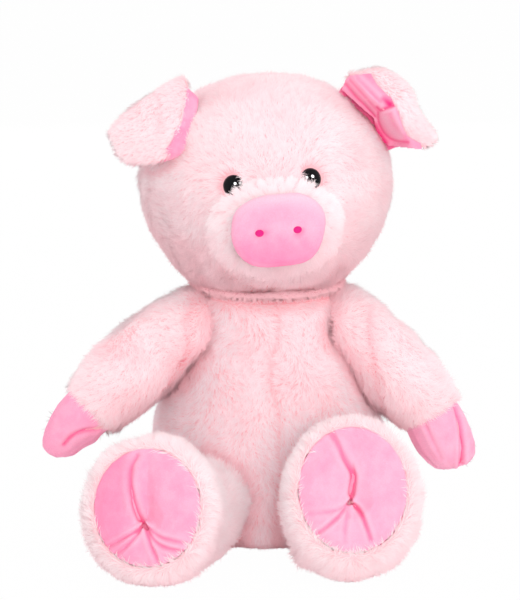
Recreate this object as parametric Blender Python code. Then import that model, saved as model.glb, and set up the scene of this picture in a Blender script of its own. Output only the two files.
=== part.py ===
# Sitting plush pig, about 300 mm tall: fur covers with their fillings, head on a threaded neck,
# folded ears, cloven velour hooves and gathered velour soles.
# Metres, +Z up. The pig sits on the plane z = 0 and looks along -Y. Left and right are the pig's own.
import math

import bmesh
import bpy
import numpy as np
from mathutils import Matrix, Vector

for old in list(bpy.data.objects):
    bpy.data.objects.remove(old, do_unlink=True)

# Cloth, seams and clearances
seam_gap = 0.0003          # air left between two sewn pieces
filling_gap = 0.0006       # air round the filling of a limb
fur_wall = 0.0025          # backing of the fur cloth with its pile pressed flat
velour_wall = 0.0015
lining_wall = 0.0013
flat_cut = 0.0005          # how far the seat and the heels are pressed flat
overrun = 0.004            # how far a cutter runs past what it cuts

# Torso
torso_width = 0.147
torso_depth = 0.124
torso_height = 0.172
torso_profile_shares = [   # height, half width, half depth
    (0.000, 0.640, 0.650), (0.018, 0.790, 0.800), (0.060, 0.900, 0.905), (0.150, 0.975, 0.975),
    (0.265, 1.000, 1.000), (0.380, 0.985, 0.990), (0.480, 0.930, 0.950), (0.555, 0.870, 0.910),
    (0.640, 0.815, 0.862), (0.730, 0.768, 0.815), (0.815, 0.715, 0.775), (0.885, 0.660, 0.742),
    (0.942, 0.600, 0.700), (1.000, 0.515, 0.610),
]

# Head, a ball that rests in the top of the torso and widens at the cheeks
head_radius = 0.073
head_height = 0.221        # of the ball's centre above the seat
head_back = 0.004
head_roll_deg = -5.0
head_turn_deg = -0.9
head_profile_shares = [    # degrees up from the neck, then width, depth and height shares
    (0, 1.00, 1.00, 1.00), (18, 1.00, 1.00, 1.00), (36, 1.00, 1.00, 1.00), (54, 1.00, 1.00, 1.00),
    (66, 1.008, 1.00, 1.00), (78, 1.030, 0.995, 1.00), (91, 1.052, 0.990, 1.00), (104, 1.078, 0.990, 1.00),
    (118, 1.088, 1.000, 1.00), (132, 1.075, 1.015, 0.99), (146, 1.090, 1.035, 0.985), (160, 1.110, 1.055, 0.98),
    (170, 1.110, 1.060, 0.98), (180, 1.110, 1.060, 0.98),
]
neck_mouth_radius = 0.030
neck_thread_radius = 0.0013

# Muzzle, snout, nostrils and eyes, placed on the head's own axes from its centre
muzzle_width = 0.078
muzzle_height = 0.059
muzzle_reach = 0.093       # front of the muzzle ahead of the head's centre
muzzle_depth = 0.040
muzzle_drop = 0.0095
muzzle_round_share = 0.86  # power of the muzzle's section, lower is squarer
snout_width = 0.055
snout_height = 0.044
snout_depth = 0.011
snout_proud = 0.0075       # how far the snout stands ahead of the muzzle
snout_drop = 0.0075
snout_profile_shares = [   # depth behind the front, then spread of the disc
    (1.0, 0.90), (0.72, 0.985), (0.48, 1.0), (0.26, 0.96), (0.10, 0.83), (0.02, 0.52),
]
nostril_width = 0.0052
nostril_height = 0.0044
nostril_proud = 0.0009
nostril_spread = 0.0225
nostril_rise = -0.0010
eye_radius = 0.0064
eye_dome = 0.0042
eye_seat_depth = 0.0008
eye_shank_radius = 0.0016
eye_shank_past = 0.0030    # shank left beyond the washer
eye_up_deg = 104.2         # from the neck, over the face
eye_out_deg = 18.5
look_step = math.radians(1.0)    # either side of the eye, for the slope of the face
eye_profile_shares = [     # height of the dome, then radius
    (0.16, 1.00), (0.34, 0.98), (0.62, 0.84), (0.85, 0.58), (0.97, 0.28),
]
eye_foot_share = 0.94
washer_radius = 0.0058
washer_thickness = 0.0014
shank_clearance = 0.0002

# Ears: sheets folded forward, given along the base, outward from the head and forward
ear_reach = 0.060
ear_place_deg = {"right": 52.0, "left": 56.0}    # down from the crown
ear_forward = 0.006        # of the ear's seam from the head's middle plane
ear_limits_deg = {"right": (-30.0, 3.0), "left": (-30.0, 15.0)}
ear_rows_shares = {   # each row: upper end, middle and lower end as (down, outward, forward)
    "left": [
        ((-0.37, -0.14, 0.00), (0.00, -0.09, 0.08), (0.37, -0.14, 0.00)),
        ((-0.42, 0.06, 0.02), (0.02, 0.18, 0.07), (0.46, 0.12, 0.00)),
        ((-0.47, 0.16, 0.03), (0.07, 0.37, 0.05), (0.60, 0.30, 0.00)),
        ((-0.49, 0.22, 0.08), (0.09, 0.48, 0.09), (0.66, 0.42, 0.05)),
        ((-0.48, 0.20, 0.17), (0.09, 0.48, 0.21), (0.66, 0.43, 0.16)),
        ((-0.44, 0.16, 0.24), (0.08, 0.40, 0.31), (0.62, 0.37, 0.24)),
        ((-0.36, 0.14, 0.29), (0.07, 0.28, 0.37), (0.55, 0.27, 0.29)),
        ((-0.22, 0.16, 0.33), (0.08, 0.19, 0.39), (0.43, 0.18, 0.31)),
    ],
    "right": [
        ((-0.35, -0.14, 0.00), (0.00, -0.09, 0.09), (0.37, -0.14, 0.00)),
        ((-0.43, 0.06, 0.00), (-0.03, 0.14, 0.08), (0.38, 0.14, -0.02)),
        ((-0.50, 0.12, 0.00), (-0.11, 0.27, 0.07), (0.35, 0.34, 0.00)),
        ((-0.55, 0.14, 0.06), (-0.14, 0.37, 0.10), (0.33, 0.47, 0.05)),
        ((-0.55, 0.13, 0.17), (-0.12, 0.37, 0.23), (0.33, 0.47, 0.17)),
        ((-0.48, 0.07, 0.26), (-0.05, 0.23, 0.36), (0.37, 0.39, 0.27)),
        ((-0.36, 0.02, 0.37), (0.05, 0.09, 0.46), (0.42, 0.25, 0.35)),
        ((-0.19, -0.02, 0.46), (0.12, -0.02, 0.55), (0.37, 0.12, 0.43)),
    ],
}

# Arms and hooves
shoulder_width = 0.096
shoulder_height = 0.137
shoulder_forward = 0.010
arm_length = 0.083
arm_radius = 0.023
arm_bulge = 0.0242
wrist_radius = 0.0190
wrist_depth = 0.0165
hoof_length = 0.041
hoof_radius = 0.0182
hoof_depth = 0.0150
cleft_width = 0.0022
cleft_share = 0.55
cleft_turn_deg = 25.0
arm_routes_shares = {   # outward, forward and down from the shoulder, of the arm's length
    "left": [(0, 0, 0), (0.21, 0.07, 0.19), (0.435, 0.16, 0.41), (0.635, 0.24, 0.64)],
    "right": [(0, 0, 0), (0.25, 0.06, 0.145), (0.52, 0.145, 0.34), (0.77, 0.24, 0.57)],
}
hoof_ways_shares = {"left": (0.44, 0.10, 0.89), "right": (0.70, 0.10, 0.70)}
hoof_profile_shares = {   # length, then depth and width of the hoof's section
    "left": [(0.00, 0.92, 0.98), (0.14, 0.98, 1.02), (0.34, 1.00, 1.04), (0.55, 0.98, 1.02), (0.74, 0.88, 0.94),
             (0.88, 0.70, 0.76), (0.96, 0.47, 0.52)],
    "right": [(0.00, 0.92, 0.98), (0.14, 0.98, 1.00), (0.34, 1.00, 0.98), (0.55, 0.95, 0.86), (0.74, 0.84, 0.70),
              (0.88, 0.66, 0.52), (0.96, 0.44, 0.35)],
}
arm_limits_deg = (-10.0, 50.0)

# Legs and soles
hip_width = 0.076
hip_height = 0.036
hip_forward = 0.044
leg_length = 0.0740
leg_radius = 0.0260
calf_width = 0.0290
calf_height = 0.0315
foot_width = 0.080
foot_heights = {"right": 0.0895, "left": 0.0940}
sole_width = 0.0645
sole_heights = {"right": 0.0690, "left": 0.0740}
foot_depth = 0.017         # from the foot's widest section to its sole
sole_dome = 0.0050
sole_groove = 0.0038
sole_gather = 0.0062
sole_gather_share = -0.20
sole_lip = 0.0022          # cloth of the foot around the sole
sole_ledge = 0.0020        # cloth of the foot behind the sole's rim
sole_lifts = {"right": 0.0036, "left": 0.0092}    # of the sole above the foot's middle
sole_outs = {"right": 0.0008, "left": 0.0}    # of the sole outward from it
sole_seam_share = 0.16     # widths of the centre seam and of the gather, of the sole's half width
sole_gather_width_share = 0.235
sole_spread_shares = (0.0, 0.18, 0.36, 0.60, 0.82, 1.0)
foot_rim_shares = [(0.45, 0.10), (0.80, 0.42)]    # way from the foot to its sole, then closing in
knot_length = 0.0032
knot_radius = 0.0007
knot_profile_shares = [(0.06, 0.7), (0.2, 1.0), (0.8, 1.0), (0.94, 0.7)]
leg_routes_shares = {   # outward, forward and up from the hip, of the leg's length
    "left": [(0, 0, 0), (0.03, 0.33, -0.05), (0.05, 0.60, 0.045), (0.065, 0.74, 0.1175)],
    "right": [(0, 0, 0), (0.20, 0.30, -0.05), (0.395, 0.60, 0.03), (0.52, 0.77, 0.0950)],
}
sole_ways_shares = {"left": (0.00, 0.96, 0.28), "right": (0.28, 0.92, 0.26)}
leg_limits_deg = (-35.0, 30.0)

# Tail
tail_height = 0.048
tail_radius = 0.0046
tail_tip_radius = 0.0026
tail_curl_radius = 0.0085
tail_root_length = 0.013
tail_pitch = 0.0100
tail_turns = 1.15
tail_stand = 0.0022        # of the tail's ball outside the back

# Facet counts
torso_sides = 28
torso_rows = 14
head_sides = 30
head_rows = 16
limb_sides = 16
core_sides = 11
core_rows = 9
seat_sides = 12
head_seat_sides = 30
eye_sides = 16
sole_sides = 24


def side_sign(side):
    return 1 if side == "left" else -1


def material(name, colour, roughness, sheen=0.0, coat=0.0):
    made = bpy.data.materials.new(name)
    made.use_nodes = True
    shader = made.node_tree.nodes["Principled BSDF"]
    shader.inputs["Base Color"].default_value = (*colour, 1)
    shader.inputs["Roughness"].default_value = roughness
    shader.inputs["Metallic"].default_value = 0
    shader.inputs["Sheen Weight"].default_value = sheen
    shader.inputs["Coat Weight"].default_value = coat
    return made


pink_fur = material("pink_fur", (0.90, 0.66, 0.68), 0.95, sheen=0.5)
pale_fur = material("pale_fur", (0.92, 0.76, 0.77), 0.95, sheen=0.5)
pink_velour = material("pink_velour", (0.95, 0.37, 0.58), 0.85, sheen=0.6)
pink_satin = material("pink_satin", (0.95, 0.33, 0.55), 0.45)
fibre_filling = material("fibre_filling", (0.90, 0.90, 0.88), 1.0)
magenta_thread = material("magenta_thread", (0.75, 0.02, 0.22), 0.5)
pink_thread = material("pink_thread", (0.88, 0.50, 0.56), 0.6)
black_plastic = material("black_plastic", (0.005, 0.005, 0.006), 0.08, coat=1.0)
white_plastic = material("white_plastic", (0.80, 0.80, 0.78), 0.4)


def mesh_object(name, points, faces, finish=None, floor=None):
    """A closed mesh; with a floor, what lies below that height is cut off flat."""
    grid = bmesh.new()
    corners = [grid.verts.new(point) for point in points]
    for face in faces:
        grid.faces.new([corners[index] for index in face])
    bmesh.ops.recalc_face_normals(grid, faces=grid.faces)
    if floor is not None:
        everything = grid.verts[:] + grid.edges[:] + grid.faces[:]
        cut = bmesh.ops.bisect_plane(grid, geom=everything, plane_co=(0, 0, floor), plane_no=(0, 0, 1),
                                     clear_inner=True)
        rim = [item for item in cut["geom_cut"] if isinstance(item, bmesh.types.BMEdge)]
        bmesh.ops.contextual_create(grid, geom=rim)
        bmesh.ops.recalc_face_normals(grid, faces=grid.faces)
    mesh = bpy.data.meshes.new(name)
    grid.to_mesh(mesh)
    grid.free()
    mesh.shade_smooth()
    mesh.set_sharp_from_angle(angle=math.radians(50))
    made = bpy.data.objects.new(name, mesh)
    bpy.context.scene.collection.objects.link(made)
    if finish is None:
        made.hide_render = True
        made.display_type = "WIRE"
    else:
        mesh.materials.append(finish)
    return made


def lofted(name, rings, finish=None, floor=None, split=False):
    """Skins rings of equal count; a ring of one point is a round end, and an end ring of more is capped flat.

    Forms that lie close inside one another are split, so that their facets fold the same way.
    """
    points, faces, starts = [], [], []
    for row in rings:
        starts.append(len(points))
        points.extend(Vector(point) for point in row)
    for first, second, a, b in zip(rings, rings[1:], starts, starts[1:]):
        count = max(len(first), len(second))
        for index in range(count):
            following = (index + 1) % count
            if len(first) == 1:
                faces.append((a, b + index, b + following))
            elif len(second) == 1:
                faces.append((a + index, a + following, b))
            elif split:
                faces.append((a + index, a + following, b + following))
                faces.append((a + index, b + following, b + index))
            else:
                faces.append((a + index, a + following, b + following, b + index))
    if len(rings[0]) > 1:
        faces.append(tuple(range(starts[0], starts[0] + len(rings[0]))))
    if len(rings[-1]) > 1:
        faces.append(tuple(range(starts[-1], starts[-1] + len(rings[-1]))))
    return mesh_object(name, points, faces, finish, floor)


def combine(piece, other, operation, solver):
    boolean = piece.modifiers.new(other.name, "BOOLEAN")
    boolean.operation = operation
    boolean.solver = solver
    boolean.object = other


def cut_by(piece, *cutters, solver="EXACT"):
    """Cuts one piece by others; the exact solver loses some of the torso's and the limbs' cuts."""
    for cutter in cutters:
        combine(piece, cutter, "DIFFERENCE", solver)


def smoothed(rows, count):
    """Rows of a table read off a smooth curve through them, count in all."""
    table = np.array(rows, float)
    steps = np.r_[0, np.cumsum(np.linalg.norm(np.diff(table / np.abs(table).max(0), axis=0), axis=1))]
    slopes = np.gradient(table, steps, axis=0)
    made = []
    for place in np.linspace(0, steps[-1], count):
        index = min(int(np.searchsorted(steps, place, "right")) - 1, len(steps) - 2)
        width = steps[index + 1] - steps[index]
        t = (place - steps[index]) / width
        made.append(
            (2 * t**3 - 3 * t**2 + 1) * table[index] + (t**3 - 2 * t**2 + t) * width * slopes[index]
            + (3 * t**2 - 2 * t**3) * table[index + 1] + (t**3 - t**2) * width * slopes[index + 1])
    return np.array(made)


def oval(centre, across, up, half_width, half_height, sides):
    turns = [2 * math.pi * index / sides for index in range(sides)]
    return [centre + across * (half_width * math.cos(turn)) + up * (half_height * math.sin(turn))
            for turn in turns]


def ball(name, centre, radius, sides=seat_sides, within=False):
    """A ball whose facets stay outside the radius, or one within it whose corners face such facets' middles."""
    rows = sides // 2
    outside = radius if within else radius / math.cos(math.pi / sides) / math.cos(math.pi / rows / 2)
    phase = 0.5 if within else 0.0
    across = Matrix.Rotation(2 * math.pi * phase / sides, 3, "Z") @ Vector((1, 0, 0))
    up = Vector((0, 0, 1)).cross(across)
    rings = [] if within else [[centre - Vector((0, 0, outside))]]
    for row in range(0 if within else 1, rows):
        angle = math.pi * (row + phase) / rows
        middle = centre - Vector((0, 0, outside * math.cos(angle)))
        rings.append(oval(middle, across, up, outside * math.sin(angle), outside * math.sin(angle), sides))
    if not within:
        rings.append([centre + Vector((0, 0, outside))])
    return lofted(name, rings)


def turned(name, base, along, profile, finish=None, sides=18):
    """Turns (distance along, radius) points about the axis; a radius of 0 is a point on it."""
    along = along.normalized()
    across = along.orthogonal().normalized()
    up = along.cross(across)
    rings = []
    for distance, radius in profile:
        middle = base + along * distance
        rings.append([middle] if radius == 0 else oval(middle, across, up, radius, radius, sides))
    return lofted(name, rings, finish)


def torso_form(name, inset, finish=None, floor=None, sides=torso_sides, rows=torso_rows, split=False):
    rings = []
    for height, width, depth in smoothed(torso_profile_shares, rows):
        low, high = inset - flat_cut, torso_height - inset
        middle = Vector((0, head_back * height, low + (high - low) * height))
        rings.append(oval(middle, Vector((1, 0, 0)), Vector((0, 1, 0)),
                          torso_width / 2 * width - inset, torso_depth / 2 * depth - inset, sides))
    return lofted(name, rings, finish, floor, split)


head_centre = Vector((0, head_back, head_height))
head_pose = (Matrix.Translation(head_centre) @ Matrix.Rotation(math.radians(head_turn_deg), 4, "Z")
             @ Matrix.Rotation(math.radians(head_roll_deg), 4, "Y"))
head_tilt = head_pose.to_3x3()


def head_point(up_deg, round_turn, inset):
    """A point of the head by its angle up from the neck and its turn round from the pig's left."""
    table = np.array(head_profile_shares, float)
    width, depth, height = [np.interp(up_deg, table[:, 0], table[:, column]) for column in (1, 2, 3)]
    angle = math.radians(up_deg)
    return head_pose @ Vector((
        (head_radius * width - inset) * math.sin(angle) * math.cos(round_turn),
        (head_radius * depth - inset) * math.sin(angle) * math.sin(round_turn),
        -(head_radius * height - inset) * math.cos(angle)))


def head_form(name, inset, finish=None, sides=head_sides, rows=head_rows):
    rings = []
    for row in range(rows + 1):
        up_deg = 180 * row / rows
        if row in (0, rows):
            rings.append([head_point(up_deg, 0, inset)])
        else:
            rings.append([head_point(up_deg, 2 * math.pi * index / sides, inset) for index in range(sides)])
    return lofted(name, rings, finish)


# Places of the limbs: each has a ball of its own radius seated in the torso
def shoulder(side):
    return Vector((side_sign(side) * shoulder_width / 2, -shoulder_forward, shoulder_height))


def hip(side):
    return Vector((side_sign(side) * hip_width / 2, -hip_forward, hip_height))


def swept(route, widths, heights, inset, sides, rows, end):
    """Oval rings along a smooth route."""
    stations = smoothed([(*point, width, height) for point, width, height in zip(route, widths, heights)], rows)
    centres = [Vector(row[:3]) for row in stations]
    tangents = [(centres[min(i + 1, rows - 1)] - centres[max(i - 1, 0)]).normalized() for i in range(rows)]
    tangents[-1] = end.normalized()
    tangents[-2] = (tangents[-2] + tangents[-1]).normalized()
    rings = []
    for centre, tangent, row in zip(centres, tangents, stations):
        across, up = section_axes(tangent)
        rings.append(oval(centre, across, up, row[3] - inset, row[4] - inset, sides))
    return rings


def section_axes(tangent, turn=0.0):
    across = tangent.cross(Vector((0, 0, 1))).normalized()
    up = across.cross(tangent).normalized()
    c, s = math.cos(turn), math.sin(turn)
    return across * c + up * s, up * c - across * s


def swing(piece, centre, axis, degrees):
    piece.matrix_world = (Matrix.Translation(centre) @ Matrix.Rotation(math.radians(degrees), 4, axis)
                          @ Matrix.Translation(-centre))


def rooted(piece, name, centre, radius, axis, turns_deg, inset, sides=torso_sides, rows=torso_rows):
    """Ends a limb at the torso, as the torso lies at each of these turns of its joint, in a ball at the joint."""
    allowance = torso_width / 2 * (1 / math.cos(math.pi / sides) - 1 / math.cos(math.pi / torso_sides))
    for degrees in turns_deg:
        cutter = torso_form(f"cut_{name}_{degrees:g}", -inset - seam_gap - allowance, sides=sides, rows=rows,
                            split=True)
        swing(cutter, centre, axis, -degrees)
        cut_by(piece, cutter, solver="MANIFOLD")
    combine(piece, ball(f"root_{name}", centre, radius - inset, within=True), "UNION", "MANIFOLD")


# Torso cover, a shell with a mouth at the neck, and its filling
neck_reach = head_radius + seam_gap
limb_seats = [(shoulder(side), arm_radius) for side in ("left", "right")]
limb_seats += [(hip(side), leg_radius) for side in ("left", "right")]
tail_seat = Vector((0, torso_depth / 2 + head_back * tail_height / torso_height + tail_stand, tail_height))
limb_seats.append((tail_seat, tail_radius))


def torso_dishes(label, deeper):
    """The seats of the limbs, the tail and the head in the torso."""
    made = [ball(f"seat_{label}_{index}", centre, radius + seam_gap + deeper)
            for index, (centre, radius) in enumerate(limb_seats)]
    made.append(ball(f"seat_{label}_head", head_centre, neck_reach + deeper, sides=head_seat_sides))
    return made


def neck_cylinder(name, radius, low, high):
    """A short upright cylinder between two depths measured from the head's centre."""
    return turned(name, head_centre, Vector((0, 0, -1)), [(low, radius), (high, radius)], sides=28)


torso_hollow = torso_form("torso_hollow", fur_wall, sides=core_sides + 6, rows=core_rows)
cut_by(torso_hollow, *torso_dishes("hollow", fur_wall), solver="MANIFOLD")
torso_mouth = neck_cylinder("torso_mouth", neck_mouth_radius, head_radius - overrun, head_radius + 2 * fur_wall)
torso_cover = torso_form("torso_cover", 0, pink_fur, floor=0)
cut_by(torso_cover, *torso_dishes("cover", 0), torso_hollow, torso_mouth, solver="MANIFOLD")
torso_filling = torso_form("torso_filling", fur_wall + seam_gap, fibre_filling, sides=core_sides + 6, rows=core_rows)
cut_by(torso_filling, *torso_dishes("filling", fur_wall + seam_gap), solver="MANIFOLD")

# Neck thread: the drawn stitch that lies in the crease between head and torso
def neck_rim_angle():
    """How far up the ball the torso's top reaches, measured from straight down."""
    highest = 0.0
    for height, width, depth in smoothed(torso_profile_shares, 200):
        for turn in np.linspace(0, 2 * math.pi, 73):
            place = Vector((torso_width / 2 * width * math.cos(turn), head_back * height
                            + torso_depth / 2 * depth * math.sin(turn), torso_height * height)) - head_centre
            if place.length <= neck_reach:
                highest = max(highest, math.atan2(math.hypot(place.x, place.y), -place.z))
    return highest


thread_reach = neck_reach + neck_thread_radius + seam_gap
thread_angle = neck_rim_angle() + math.asin((neck_thread_radius + 2 * seam_gap) / thread_reach)
thread_ring = thread_reach * math.sin(thread_angle)
thread_level = -thread_reach * math.cos(thread_angle)


def closed_tube(name, radius, tube_radius, centre, finish, sides=36, tube_sides=6):
    points, faces = [], []
    for index in range(sides):
        turn = 2 * math.pi * index / sides
        out = Vector((math.cos(turn), math.sin(turn), 0))
        points += oval(centre + out * radius, out, Vector((0, 0, 1)), tube_radius, tube_radius, tube_sides)
    for index in range(sides):
        for step in range(tube_sides):
            a, b = index * tube_sides, (index + 1) % sides * tube_sides
            following = (step + 1) % tube_sides
            faces.append((a + step, a + following, b + following, b + step))
    return mesh_object(name, points, faces, finish)


neck_thread = closed_tube("neck_thread", thread_ring, neck_thread_radius,
                          head_centre + Vector((0, 0, thread_level)), pink_thread)

# Eyes: a domed button with a shank through the face and a washer behind it
def eye_frame(side):
    """The point of the face under the eye's middle and the direction that the eye looks."""
    turn = math.radians(-90 + side_sign(side) * eye_out_deg)
    here = head_point(eye_up_deg, turn, 0)
    below, above = head_point(eye_up_deg - 1, turn, 0), head_point(eye_up_deg + 1, turn, 0)
    inward, outward = (head_point(eye_up_deg, turn + way * look_step, 0) for way in (-1, 1))
    out = (outward - inward).cross(above - below).normalized()
    return here, out if out.dot(here - head_centre) > 0 else -out


head_cavity = head_form("head_cavity", fur_wall, sides=core_sides + 6, rows=core_rows + 3)
head_mouth = neck_cylinder("head_mouth", neck_mouth_radius, head_radius - 2 * fur_wall, head_radius + overrun)
head_cover = head_form("head_cover", 0, pink_fur)
head_filling = head_form("head_filling", fur_wall + seam_gap, fibre_filling, sides=core_sides + 6, rows=core_rows + 3)
cut_by(head_cover, head_cavity, head_mouth)

eye_rooms = []
washer_depth = eye_seat_depth + fur_wall + seam_gap + washer_thickness
for side in ("left", "right"):
    seat, out = eye_frame(side)
    bore = eye_shank_radius + shank_clearance
    floor_depth = -eye_seat_depth
    sag = fur_wall / 2
    shank_end = -washer_depth - sag - eye_shank_past
    dome = [(floor_depth + eye_dome * height, eye_radius * radius) for height, radius in eye_profile_shares]
    turned(f"eye_{side}", seat, out, [
        (shank_end, 0), (shank_end, eye_shank_radius), (floor_depth + seam_gap, eye_shank_radius),
        (floor_depth + seam_gap, eye_radius * eye_foot_share), *dome, (floor_depth + eye_dome, 0),
    ], black_plastic, sides=eye_sides)
    seat_cut = turned(f"eye_seat_{side}", seat, out, [
        (floor_depth, 0), (floor_depth, eye_radius + seam_gap), (overrun, eye_radius + seam_gap), (overrun, 0),
    ], sides=20)
    shank_cut = turned(f"eye_bore_{side}", seat, out, [
        (-washer_depth - overrun, bore), (overrun, bore)], sides=12)
    cut_by(head_cover, seat_cut, shank_cut)
    washer_top = -(washer_depth + sag - washer_thickness)
    washer = turned(f"eye_washer_{side}", seat, out, [
        (washer_top - washer_thickness, washer_radius), (washer_top, washer_radius)], white_plastic, sides=eye_sides)
    cut_by(washer, turned(f"washer_bore_{side}", seat, out, [
        (washer_top - washer_thickness - overrun, bore), (washer_top + overrun, bore)], sides=12))
    pocket = turned(f"washer_pocket_{side}", seat, out, [
        (shank_end - seam_gap, washer_radius + seam_gap), (overrun, washer_radius + seam_gap)], sides=eye_sides)
    cut_by(head_filling, pocket)
    eye_rooms.append(turned(f"eye_room_{side}", seat, out, [
        (-fur_wall, eye_radius + 2 * seam_gap), (eye_dome + overrun, eye_radius + 2 * seam_gap)], sides=20))

# Muzzle and snout, on the head's own axes
face_axes = (head_tilt @ Vector((1, 0, 0)), head_tilt @ Vector((0, 0, 1)), head_tilt @ Vector((0, -1, 0)))


def face_point(across, up, forward):
    return head_centre + face_axes[0] * across + face_axes[1] * up + face_axes[2] * forward


def muzzle_form(name, inset, finish=None, sides=30):
    rings = [[face_point(0, -muzzle_drop, muzzle_reach - inset)]]
    for angle in (14, 28, 42, 56, 70, 83, 96):
        spread = math.sin(math.radians(angle)) ** muzzle_round_share
        forward = muzzle_reach - muzzle_depth + (muzzle_depth - inset) * math.cos(math.radians(angle))
        rings.append(oval(face_point(0, -muzzle_drop, forward), face_axes[0], face_axes[1],
                          (muzzle_width / 2 - inset) * spread, (muzzle_height / 2 - inset) * spread, sides))
    return lofted(name, rings, finish)


snout_front = muzzle_reach + snout_proud


def snout_form(name, inset, finish=None, sides=28):
    rings = []
    for depth, spread in snout_profile_shares:
        rings.append(oval(face_point(0, -snout_drop, snout_front - inset - snout_depth * depth), face_axes[0],
                          face_axes[1], (snout_width / 2 - inset) * spread,
                          (snout_height / 2 - inset) * spread, sides))
    rings.append([face_point(0, -snout_drop, snout_front - inset)])
    return lofted(name, rings, finish)


face_cut = head_form("face_cut", -seam_gap)
muzzle_room = muzzle_form("muzzle_room", fur_wall)
cut_by(muzzle_room, *[ball(f"eye_wall_{index}", room_seat, eye_radius + fur_wall)
                      for index, (room_seat, _) in enumerate(eye_frame(side) for side in ("left", "right"))])
muzzle_cover = muzzle_form("muzzle_cover", 0, pale_fur)
cut_by(muzzle_cover, face_cut, muzzle_room, *eye_rooms)
muzzle_filling = muzzle_form("muzzle_filling", fur_wall + seam_gap, fibre_filling)
cut_by(muzzle_filling, face_cut, *[
    ball(f"eye_core_{index}", room_seat, eye_radius + fur_wall + seam_gap)
    for index, (room_seat, _) in enumerate(eye_frame(side) for side in ("left", "right"))])
snout_pad = snout_form("snout_pad", 0, pink_velour)
cut_by(snout_pad, muzzle_form("snout_seat", -seam_gap))

for side in ("left", "right"):
    middle = face_point(side_sign(side) * nostril_spread / 2, nostril_rise - snout_drop, snout_front)
    rings = [[middle - face_axes[2] * nostril_width]]
    for angle in (30, 60, 90, 120, 150):
        lift = -math.cos(math.radians(angle))
        reach = nostril_proud if lift > 0 else nostril_width
        spread = math.sin(math.radians(angle))
        rings.append(oval(middle + face_axes[2] * (reach * lift), face_axes[0], face_axes[1],
                          nostril_width / 2 * spread, nostril_height / 2 * spread, 14))
    rings.append([middle + face_axes[2] * nostril_proud])
    cut_by(lofted(f"nostril_{side}", rings, magenta_thread), snout_form(f"nostril_seat_{side}", -seam_gap / 2))

# Ears: two sewn sheets each, standing on the head and folded forward over themselves
def ear_axes(side):
    """The middle of the ear's seam with the head, and its down, outward and forward directions."""
    angle = math.radians(ear_place_deg[side])
    sign = side_sign(side)
    seat = head_point(180 - ear_place_deg[side], 0 if sign > 0 else math.pi, 0)
    seat -= head_tilt @ Vector((0, ear_forward, 0))
    down = head_tilt @ Vector((sign * math.cos(angle), 0, -math.sin(angle)))
    outward = head_tilt @ Vector((sign * math.sin(angle), 0, math.cos(angle)))
    return seat, down, outward, head_tilt @ Vector((0, -1, 0))


def ear_sheet(name, side, near, far, finish, columns=8, rows=12):
    """A sheet between two distances behind the ear's middle surface, on the side that the fur covers."""
    seat, down, outward, forward = ear_axes(side)
    table = smoothed([np.ravel(row) for row in ear_rows_shares[side]], rows)
    grid = np.empty((rows, columns, 3))
    for i, row in enumerate(table):
        upper, middle, lower = row.reshape(3, 3)
        for j, t in enumerate(np.linspace(0, 1, columns)):
            share = upper * (1 - t) * (1 - 2 * t) + 4 * middle * t * (1 - t) + lower * t * (2 * t - 1)
            place = seat + (down * share[0] + outward * share[1] + forward * share[2]) * ear_reach
            grid[i, j] = place
    along, out = np.gradient(grid, axis=1), np.gradient(grid, axis=0)
    normal = np.cross(along, out) * -side_sign(side)
    normal /= np.linalg.norm(normal, axis=2, keepdims=True)
    points = np.concatenate([(grid + normal * near).reshape(-1, 3), (grid + normal * far).reshape(-1, 3)])
    size = rows * columns
    faces = []
    for i in range(rows - 1):
        for j in range(columns - 1):
            a = i * columns + j
            for corners in ((a, a + 1, a + columns + 1), (a, a + columns + 1, a + columns)):
                faces += [corners, tuple(size + corner for corner in reversed(corners))]
    rim = [j for j in range(columns)] + [i * columns + columns - 1 for i in range(1, rows)]
    rim += [(rows - 1) * columns + j for j in range(columns - 2, -1, -1)]
    rim += [i * columns for i in range(rows - 2, 0, -1)]
    for a, b in zip(rim, rim[1:] + rim[:1]):
        faces.append((a, b, size + b, size + a))
    return mesh_object(name, [Vector(point) for point in points], faces, finish)


for side in ("left", "right"):
    seat, down, outward, forward = ear_axes(side)
    hinge = down * side_sign(side)
    cutters = []
    for label, degrees in (("rest", 0.0), ("low", ear_limits_deg[side][0]), ("high", ear_limits_deg[side][1])):
        cutter = head_form(f"cut_ear_{side}_{label}", -seam_gap)
        swing(cutter, seat, hinge, -degrees)
        cutters.append(cutter)
    outer = ear_sheet(f"ear_outer_{side}", side, seam_gap / 2, seam_gap / 2 + fur_wall, pink_fur)
    lining = ear_sheet(f"ear_lining_{side}", side, -seam_gap / 2 - lining_wall, -seam_gap / 2, pink_satin)
    cut_by(outer, *cutters)
    cut_by(lining, *cutters)

# Arms: fur sleeve, velour hoof with its cleft, and one filling through both


def outward_point(side, start, shares, length):
    across, forward, down = shares
    return start + Vector((side_sign(side) * across, -forward, -down)) * length


def arm_rings(side, inset, past=0.0, rows=8, sides=limb_sides):
    route = [outward_point(side, shoulder(side), shares, arm_length) for shares in arm_routes_shares[side]]
    way = outward_point(side, Vector((0, 0, 0)), hoof_ways_shares[side], 1).normalized()
    widths = [arm_radius, arm_radius, arm_bulge * 0.93, wrist_depth]
    heights = [arm_radius, arm_bulge, arm_bulge, wrist_radius]
    rings = swept(route, widths, heights, inset, sides, rows, way)
    if past:
        rings.append([point + way * past for point in rings[-1]])
    return rings


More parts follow.
